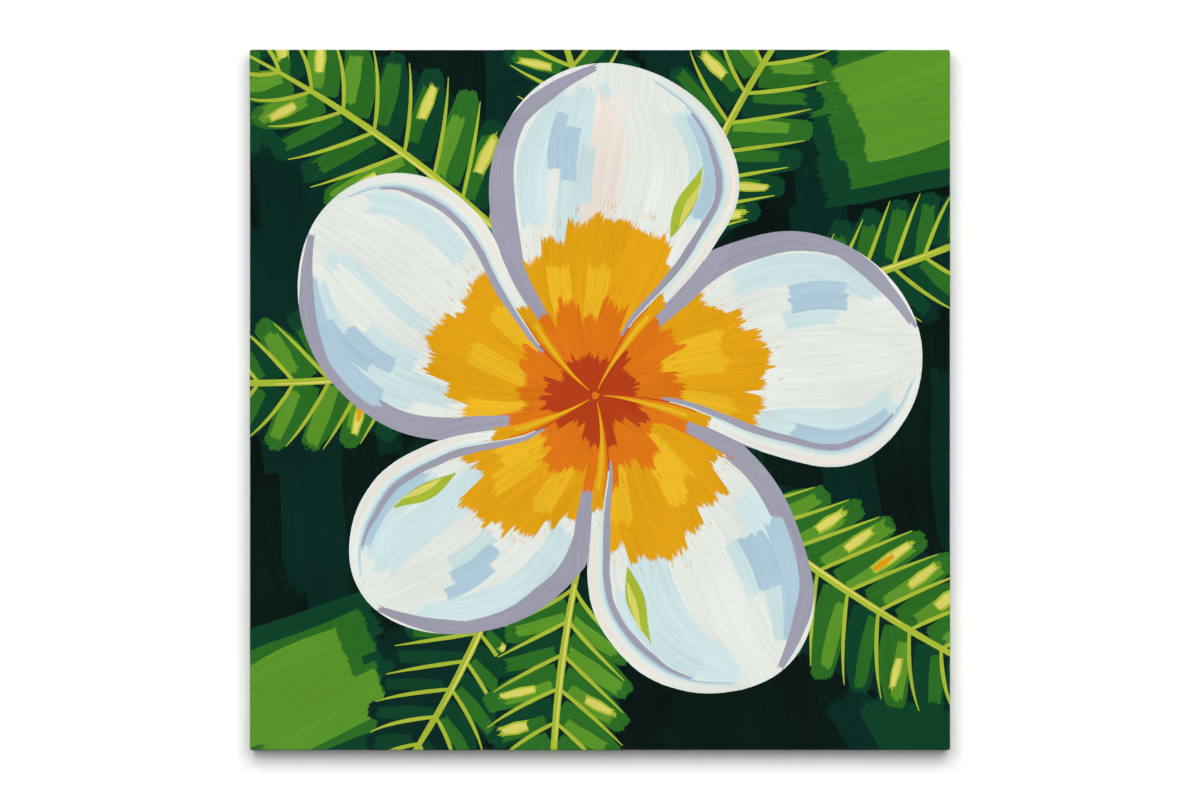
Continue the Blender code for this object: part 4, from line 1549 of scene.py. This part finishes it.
class CANVAS_OT_leaves(Operator):
    """Paint the leaves"""

    bl_idname = "canvas_picture.leaves"
    bl_label = "Painted leaves"

    def execute(self, context):
        rng = np.random.default_rng(settings().brush.seed + 1)
        within = painted_reach(rng)
        for number, (foot, angle, length, half, bend, veins, light, tones) in enumerate(LEAVES, 1):
            leaf = Leaf(foot, angle, length, half, bend)
            marks = leaf_marks(leaf, rng, veins, light, tones)
            layer = LEAF_LAYERS[number % len(LEAF_LAYERS)]
            lay_paint(f"paint_leaf_{number}", marks, layer, within, wraps=True)
        return {"FINISHED"}


class CANVAS_OT_bloom(Operator):
    """Paint the petals, their rolled edges and the heart"""

    bl_idname = "canvas_picture.bloom"
    bl_label = "Painted bloom"

    def execute(self, context):
        rng = np.random.default_rng(settings().brush.seed + 2)
        bloom = Bloom()
        for k in range(bloom.petals):
            marks = petal_marks(bloom, k, rng)
            lay_paint(f"paint_petal_{k + 1}", marks, PETAL_LAYER, bloom.outline(k))
        low, thickness = RIM_LAYER
        for k in range(bloom.petals):
            marks = rim_marks(bloom, k, rng)
            lay_paint(f"paint_rim_{k + 1}", marks, (low + RIM_STEP * k, thickness))
        lay_paint("paint_heart", heart_marks(bloom, rng), HEART_LAYER)
        return {"FINISHED"}


class CANVAS_OT_bars(Operator):
    """Give the stretcher bars their pine"""

    bl_idname = "canvas_picture.bars"
    bl_label = "Stretcher bars"

    def execute(self, context):
        timber = settings().timber
        woods = [
            timber_material(name, timber.pine_light, timber.pine_dark, upright, timber.ring)
            for name, upright in (("pine_level", False), ("pine_upright", True))
        ]
        for side in SIDE_NAMES:
            finish(f"bar_{side}", woods[side in ("left", "right")])
        return {"FINISHED"}


class CANVAS_OT_keys(Operator):
    """Give the corner keys their wood"""

    bl_idname = "canvas_picture.keys"
    bl_label = "Corner keys"

    def execute(self, context):
        timber = settings().timber
        ring = timber.ring / 3
        woods = [
            timber_material(name, timber.key_light, timber.key_dark, upright, ring)
            for name, upright in (("key_wood_level", False), ("key_wood_upright", True))
        ]
        for side in SIDE_NAMES:
            for letter in "ab":
                finish(f"key_{side}_{letter}", woods[side in ("top", "bottom")])
        return {"FINISHED"}


class CANVAS_OT_staples(Operator):
    """Give the staples their galvanised wire"""

    bl_idname = "canvas_picture.staples"
    bl_label = "Staples"

    def execute(self, context):
        wire = metal_material("staple_wire", settings().hardware.staple, roughness=0.32)
        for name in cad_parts:
            if name.startswith("staple_"):
                finish(name, wire)
        return {"FINISHED"}


class CANVAS_OT_hanger(Operator):
    """Give the hanger plate and its pins their plating"""

    bl_idname = "canvas_picture.hanger"
    bl_label = "Hanger"

    def execute(self, context):
        hardware = settings().hardware
        finish("hanger_plate", metal_material("yellow_zinc", hardware.plate, roughness=0.3))
        steel = metal_material("pin_steel", hardware.pin, roughness=0.28)
        for side in ("left", "right"):
            finish(f"hanger_pin_{side}", steel)
        return {"FINISHED"}


class CANVAS_OT_bumpers(Operator):
    """Give the wall bumpers their rubber"""

    bl_idname = "canvas_picture.bumpers"
    bl_label = "Wall bumpers"

    def execute(self, context):
        rubber = rubber_material(settings().hardware.rubber)
        for side in ("left", "right"):
            finish(f"bumper_{side}", rubber)
        return {"FINISHED"}


def finish(node, material):
    """Puts this material on a piece of the frame."""
    piece = bpy.data.objects[node]
    if not piece.material_slots:
        piece.data.materials.append(material)
    for slot in piece.material_slots:
        slot.material = material


class CANVAS_PT_panel(Panel):
    """The picture's pieces, in the order in which they are made"""

    bl_label = "Canvas Picture"
    bl_idname = "CANVAS_PT_panel"
    bl_space_type = "VIEW_3D"
    bl_region_type = "UI"
    bl_category = "Canvas Picture"

    def draw(self, context):
        for operator in OPERATORS:
            self.layout.operator(operator.bl_idname)


OPERATORS = (
    CANVAS_OT_stage,
    CANVAS_OT_cloth,
    CANVAS_OT_corner_folds,
    CANVAS_OT_threads,
    CANVAS_OT_ground,
    CANVAS_OT_leaves,
    CANVAS_OT_bloom,
    CANVAS_OT_bars,
    CANVAS_OT_keys,
    CANVAS_OT_staples,
    CANVAS_OT_hanger,
    CANVAS_OT_bumpers,
)

CLASSES = (
    ClothSettings,
    BrushSettings,
    PaletteSettings,
    BloomSettings,
    TimberSettings,
    HardwareSettings,
    StageSettings,
    CanvasPictureSettings,
    *OPERATORS,
    CANVAS_PT_panel,
)


def register():
    for cls in CLASSES:
        bpy.utils.register_class(cls)
    bpy.types.Scene.canvas_picture = PointerProperty(type=CanvasPictureSettings)


def unregister():
    del bpy.types.Scene.canvas_picture
    for cls in reversed(CLASSES):
        bpy.utils.unregister_class(cls)


def main():
    register()
    for operator in OPERATORS:
        group, name = operator.bl_idname.split(".")
        getattr(getattr(bpy.ops, group), name)()


if __name__ == "__main__":
    main()
